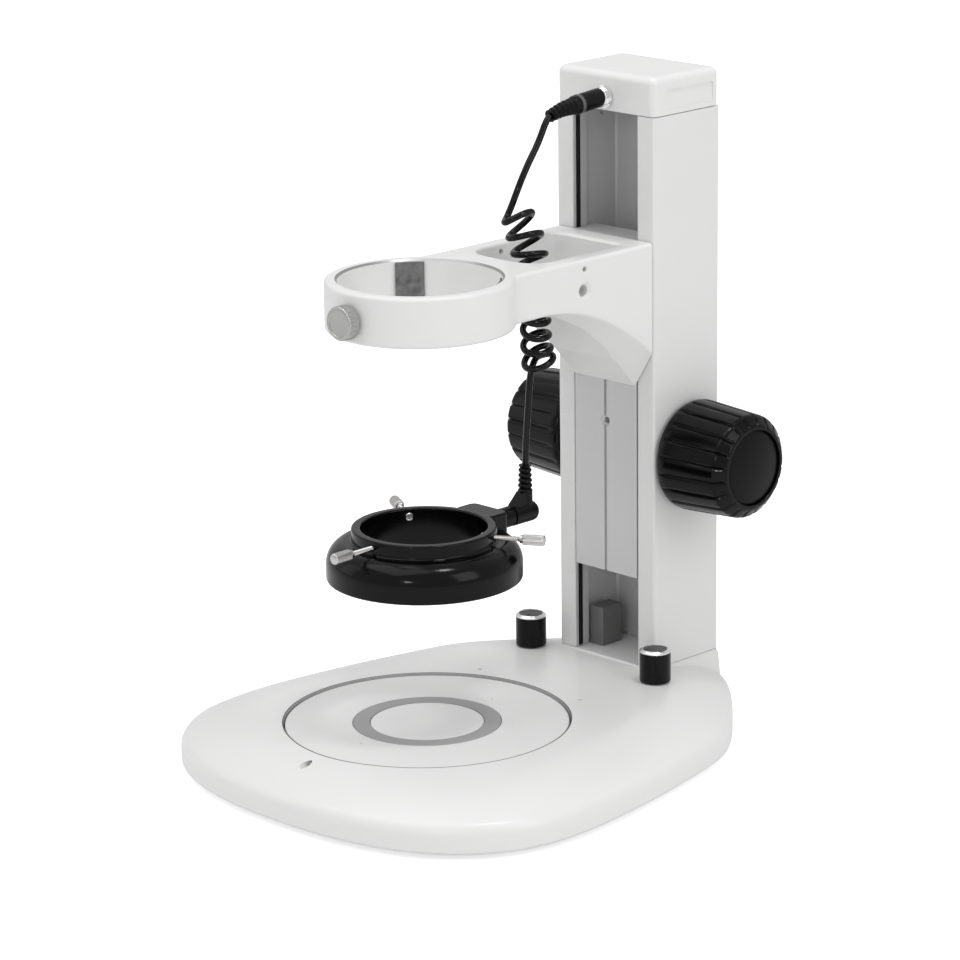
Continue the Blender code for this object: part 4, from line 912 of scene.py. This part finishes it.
def add_arm():
    """Ring and neck in one casting, with the cable pocket and its holes."""
    edge = 0.0018
    rounding = [(edge * (1 - s), edge * (1 - c)) for s, c in quarter_turn(6)]
    profile = [(ARM_RING - inset, ARM_UNDER + rise) for inset, rise in rounding]
    profile += [(ARM_RING - inset, ARM_TOP - rise) for inset, rise in reversed(rounding)]
    arm = on_axis(turned(profile, 180))
    back = ARM_BACK - AXIS_Y
    first = 0.016
    stations = [first + (back - first) * k / 44 for k in range(45)]
    arm = combine(arm, skin([arm_section(y) for y in stations]), "UNION")
    bore = turned([(ARM_BORE + 0.001, ARM_UNDER - 0.002), (ARM_BORE + 0.0006, ARM_UNDER - 0.0001),
                   (ARM_BORE, ARM_UNDER + 0.0005), (ARM_BORE, ARM_TOP - 0.0010),
                   (ARM_BORE + 0.0016, ARM_TOP + 0.0006)], 180)
    arm = combine(arm, on_axis(bore))
    pocket = [pocket_loop(0.003, BASE_TOP + 0.135), pocket_loop(0.0001, ARM_TOP - 0.0012),
              pocket_loop(-0.0001, ARM_TOP - 0.0007), pocket_loop(-0.0005, ARM_TOP - 0.0002),
              pocket_loop(-0.0012, ARM_TOP + 0.0002)]
    arm = combine(arm, skin(pocket))
    hole = [(0.0041, -0.001), (0.0041, 0.0035), (0.0033, 0.0035), (0.0033, 0.008)]
    arm = drilled(arm, hole, 48, (0, AXIS_Y - ARM_BORE, CLAMP_Z), (0, -1, 0))
    for bottom, mouth, z in ((0.0012, 0.0016, 0.2083), (0.0028, 0.0042, 0.1980)):
        hole = [(bottom, -0.0085), (bottom, bottom - mouth - 0.0002), (mouth, -0.0002),
                (mouth + 0.0004, 0.0002), (mouth + 0.0006, 0.001)]
        arm = drilled(arm, hole, 48, (ARM_HALF, AXIS_Y + 0.077, BASE_TOP + z), (1, 0, 0))
    pin_at = (-0.0225, AXIS_Y + 0.0755, BASE_TOP + 0.2092)
    arm = drilled(arm, [(0.0013, -0.002), (0.0013, 0.005)], 32, pin_at, (-1, 0, 0))
    thread = [(0.0026, -0.001), (0.0026, 0.0075)]
    for side in (-1, 1):
        arm = drilled(arm, thread, 32, (side * ARM_SCREW_X, ARM_BACK, ARM_SCREW_Z), (0, -1, 0))
    arm = add_piece("ring_arm", arm, "enamel", "carriage", "white_paint", "focus_arm", sharp=30)

    def on_bare_rim(centre, normal):
        out = math.hypot(centre.x, centre.y - AXIS_Y)
        return out < ARM_BORE + 0.0012 and centre.z > ARM_TOP - 0.0011 and 0.3 < normal.z < 0.95

    paint_faces(arm, "bare_edge", on_bare_rim)


def add_clamp_pads():
    """Two thin pads on the wall of the bore."""
    for middle, word in ((143, "left"), (37, "right")):
        outer = arc(0, AXIS_Y, ARM_BORE - 0.0003, middle - 10.5, middle + 10.5, 24)
        inner = arc(0, AXIS_Y, ARM_BORE - 0.0014, middle + 10.5, middle - 10.5, 24)
        pad = prism(outer + inner, ARM_UNDER + 0.002, ARM_TOP - 0.0012)
        add_piece(f"grip_pad_{word}", pad, "pad", "carriage", "satin_alloy", f"clamp_pad_{word}",
                  bevel=0.0002)


def knurled(stations, teeth, depth, per_tooth=4):
    """A turned shape whose (radius, z, share) stations carry straight knurling of depth * share."""
    rings = []
    for radius, z, share in stations:
        ring = []
        for k in range(teeth * per_tooth):
            turn = math.tau * k / (teeth * per_tooth)
            wave = 0.5 - 0.5 * math.cos(teeth * turn)
            r = radius - depth * share * wave
            ring.append(Vector((r * math.cos(turn), r * math.sin(turn), z)))
        rings.append(ring)
    return skin(rings)


def add_arm_clamp():
    """Coin-edged clamp screw at the front of the ring, and its brass tip."""
    at = (0, AXIS_Y, CLAMP_Z)
    stations = [(0.0030, 0.0379, 0), (0.0030, 0.0444, 0), (0.0051, 0.0445, 0), (0.0053, 0.0447, 0),
                (0.0053, 0.0453, 0), (0.0076, 0.0454, 0.3), (0.0080, 0.0458, 1), (0.0080, 0.0508, 1),
                (0.0078, 0.0512, 0.5), (0.0074, 0.0515, 0), (0.0062, 0.0515, 0), (0.0060, 0.0512, 0),
                (0.0020, 0.0511, 0)]
    head = knurled(stations, 54, 0.00035)
    add_piece("clamp_screw_head", placed(head, at, (0, -1, 0)), "brushed", "clamp_screw", "bright_steel",
              "arm_clamp_screw", sharp=50)
    tip = turned([(0.0020, 0.0361), (0.0032, 0.0361), (0.0036, 0.0364), (0.0036, 0.0376),
                  (0.001, 0.0376)], 64)
    add_piece("clamp_screw_tip", placed(tip, at, (0, -1, 0)), "brass", "clamp_tip", "brass",
              "arm_clamp_tip")


# ---- ring light
LIGHT_BORE = 0.0296
COLLAR = 0.034
LIGHT_RADIUS = 0.046
THUMB_Z = BASE_TOP + 0.0912
THUMB_ANGLES = (30, 150, 270)


def outwards(angle):
    """Level direction at an angle in degrees from +X."""
    return (math.cos(math.radians(angle)), math.sin(math.radians(angle)), 0)


def add_ring_light():
    """Hollow torus-backed housing with its collar and plug boss, and the lens."""
    shoulder = BASE_TOP + 0.088
    ceiling = LIGHT_BOTTOM + 0.0125
    edge = 0.0009
    profile = [(LIGHT_BORE + 0.0005, LIGHT_BOTTOM), (LIGHT_BORE, LIGHT_BOTTOM + 0.0005),
               (LIGHT_BORE, LIGHT_TOP - edge)]
    profile += [(LIGHT_BORE + edge * (1 - c), LIGHT_TOP - edge + edge * s)
                for s, c in quarter_turn(4)[1:]]
    profile += [(COLLAR - edge + edge * s, LIGHT_TOP - edge + edge * c) for s, c in quarter_turn(4)]
    foot = 0.0012
    profile += [(COLLAR + foot * (1 - c), shoulder + foot * (1 - s)) for s, c in quarter_turn(4)]
    across, down = LIGHT_RADIUS - COLLAR - 0.0022, 0.0105
    profile += [(LIGHT_RADIUS - across + across * s, shoulder - down + down * c)
                for s, c in quarter_turn(15)[1:]]
    profile += [(LIGHT_RADIUS, LIGHT_BOTTOM + 0.0012), (LIGHT_RADIUS - 0.0003, LIGHT_BOTTOM + 0.0004),
                (LIGHT_RADIUS - 0.0010, LIGHT_BOTTOM), (0.0443, LIGHT_BOTTOM), (0.0443, ceiling),
                (0.0330, ceiling), (0.0330, LIGHT_BOTTOM)]
    housing = on_axis(turned(profile, 192, wrap=True))
    boss_rings = []
    top_edge = 0.0010
    heights = [(0.0, LIGHT_BOTTOM + 0.0135)]
    heights += [(top_edge * (1 - c), LIGHT_TOP - 0.0004 - top_edge + top_edge * s)
                for s, c in quarter_turn(4)]
    for inset, z in heights:
        loop = rounded_box(-0.012 + inset, 0.012 - inset, AXIS_Y + 0.0315, BOSS_END - inset, 0.0035 - inset)
        boss_rings.append(raised(loop, z))
    housing = combine(housing, skin(boss_rings), "UNION")
    for angle in THUMB_ANGLES:
        hole = [(0.0016, LIGHT_BORE - 0.002), (0.0016, COLLAR + 0.002)]
        housing = drilled(housing, hole, 32, (0, AXIS_Y, THUMB_Z), outwards(angle))
    housing = drilled(housing, [(0.003, -0.008), (0.003, 0.001)], 32, (0, BOSS_END, PLUG_Z), (0, 1, 0))
    add_piece("ring_light_casting", housing, "enamel_black", "carriage", "black_enamel",
              "ring_light_housing", sharp=30)
    lens = turned([(0.0334, LIGHT_BOTTOM + 0.0006), (0.0439, LIGHT_BOTTOM + 0.0006),
                   (0.0439, LIGHT_BOTTOM + 0.0020), (0.0334, LIGHT_BOTTOM + 0.0020)], 160, wrap=True)
    add_piece("ring_light_lens", on_axis(lens), "lens", "carriage", "ring_lens", "ring_lens", bevel=0.0002)


def add_thumbscrews():
    """Threaded screws with knurled heads and separate tips."""
    at = (0, AXIS_Y, THUMB_Z)
    pitch = 0.0005
    for number, angle in enumerate(THUMB_ANGLES, 1):
        outward = outwards(angle)
        stations = [(0.0010, 0.0290, 0)]
        z = 0.0292
        while z < 0.0455:
            stations += [(0.0010, z, 0), (0.0012, z + pitch / 2, 0)]
            z += pitch
        stations += [(0.0013, 0.0460, 0), (0.0019, 0.0462, 0), (0.0020, 0.0474, 0), (0.0024, 0.0476, 0.5),
                     (0.0027, 0.0480, 1), (0.0027, 0.0570, 1), (0.0025, 0.0575, 0.5), (0.0021, 0.0578, 0),
                     (0.0006, 0.0579, 0)]
        screw = knurled(stations, 24, 0.00028)
        add_piece(f"ring_thumbscrew_{number}", placed(screw, at, outward), "nickel", f"ring_screw_{number}",
                  "bright_steel", f"thumbscrew_{number}", sharp=50)
        tip = turned([(0.0010, 0.0274), (0.0016, 0.0275), (0.0019, 0.0278), (0.0019, 0.0286),
                      (0.0016, 0.0287), (0.0005, 0.0287)], 48)
        add_piece(f"ring_screw_tip_{number}", placed(tip, at, outward), "nickel", f"ring_tip_{number}",
                  "bright_steel", f"thumbscrew_tip_{number}")


# ---- CAD nodes that stay
def finish_kept_nodes():
    """Finishes and soft edges for the CAD nodes that stay as they are."""
    kept = (
        ("block", 0.0003, ("column_foot_block",)),
        ("alloy", 0.0003, ("dimmer_pot_left", "dimmer_pot_right", "dimmer_spindle_left",
                           "dimmer_spindle_right")),
        ("nickel", 0.0002, ("focus_shaft", "focus_pinion", "focus_rack", "arm_screw_left",
                            "arm_screw_right")),
        ("brass", 0.0002, ("shaft_bush_left", "shaft_bush_right")),
        ("strip", 0.0002, ("glide_strip_left", "glide_strip_right")),
        ("board", 0.0002, ("lamp_board", "driver_board", "ring_led_board")),
        ("cover", 0.0004, ("base_cover",)),
        ("jacket", 0.0, ("socket_lead",)),
    )
    for finish, width, names in kept:
        for name in names:
            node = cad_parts[name]
            node.data.materials.clear()
            node.data.materials.append(FINISHES[finish])
            if width:
                soften(node, width)


# ---- studio
def add_area(name, at, target, size, power):
    """A rectangular lamp aimed at a point."""
    data = bpy.data.lights.new(name, "AREA")
    data.shape = "RECTANGLE"
    data.size, data.size_y = size
    data.energy = power
    light = add_object(name, data)
    light.location = at
    light.rotation_mode = "QUATERNION"
    light.rotation_quaternion = (Vector(at) - Vector(target)).to_track_quat("Z", "Y")


def add_studio():
    """White floor and surroundings to the camera, a dimmer room for the reflections, soft boxes."""
    floor_shape = box(-6, 6, -6, 6, -0.02, -0.0001)
    mesh = bpy.data.meshes.new("floor")
    floor_shape.to_mesh(mesh)
    floor_shape.free()
    floor = add_object("floor", mesh)
    sheet = make_finish("floor_white", 0.90, 0.9, vary=0.002, grain=60, bump=0.0)
    tree = sheet.node_tree
    glow = add_node(tree, "ShaderNodeEmission", Strength=0.6)
    seen = add_node(tree, "ShaderNodeAddShader")
    path = add_node(tree, "ShaderNodeLightPath")
    mix = add_node(tree, "ShaderNodeMixShader")
    paper = tree.nodes["Principled BSDF"]
    link(paper, "BSDF", seen, 0)
    link(glow, "Emission", seen, 1)
    link(path, "Is Camera Ray", mix, "Fac")
    link(paper, "BSDF", mix, 1)
    link(seen, "Shader", mix, 2)
    link(mix, "Shader", tree.nodes["Material Output"], "Surface")
    floor.data.materials.append(sheet)

    world = bpy.data.worlds.new("studio")
    bpy.context.scene.world = world
    world.use_nodes = True
    tree = world.node_tree
    room = tree.nodes["Background"]
    room.inputs["Color"].default_value = (1, 1, 1, 1)
    room.inputs["Strength"].default_value = 0.60
    seen = add_node(tree, "ShaderNodeBackground", Color=(1, 1, 1, 1), Strength=1.0)
    path = add_node(tree, "ShaderNodeLightPath")
    mix = add_node(tree, "ShaderNodeMixShader")
    link(path, "Is Camera Ray", mix, "Fac")
    link(room, "Background", mix, 1)
    link(seen, "Background", mix, 2)
    link(mix, "Shader", tree.nodes["World Output"], "Surface")

    middle = (0, 0, 0.15)
    add_area("soft_box_top", (-0.3, -0.5, 1.7), middle, (1.6, 1.2), 7.7)
    add_area("soft_box_left", (-1.5, -1.0, 0.8), middle, (0.7, 1.2), 1.3)
    add_area("soft_box_right", (1.6, 0.2, 1.0), middle, (0.8, 1.2), 5.3)
    add_area("soft_box_front", (0.9, -1.9, 0.9), middle, (0.17, 0.15), 2.4)
    add_area("soft_box_high", (0.5, 0.1, 1.9), middle, (0.28, 0.28), 5.4)
    bpy.context.scene.view_settings.view_transform = "Standard"
    bpy.context.scene.view_settings.look = "None"


def main():
    add_camera()
    FINISHES.update(make_finishes())
    plugs = add_upper_plug() + add_lower_plug()
    add_cord()
    add_base()
    add_stage()
    add_feet()
    add_column()
    add_cap()
    add_socket()
    add_inlet()
    add_slider()
    add_arm()
    add_clamp_pads()
    add_arm_clamp()
    add_ring_light()
    add_thumbscrews()
    for word, side in (("left", -1), ("right", 1)):
        add_dimmer(word, side)
        add_knob(word, side)
    finish_kept_nodes()
    add_studio()


main()
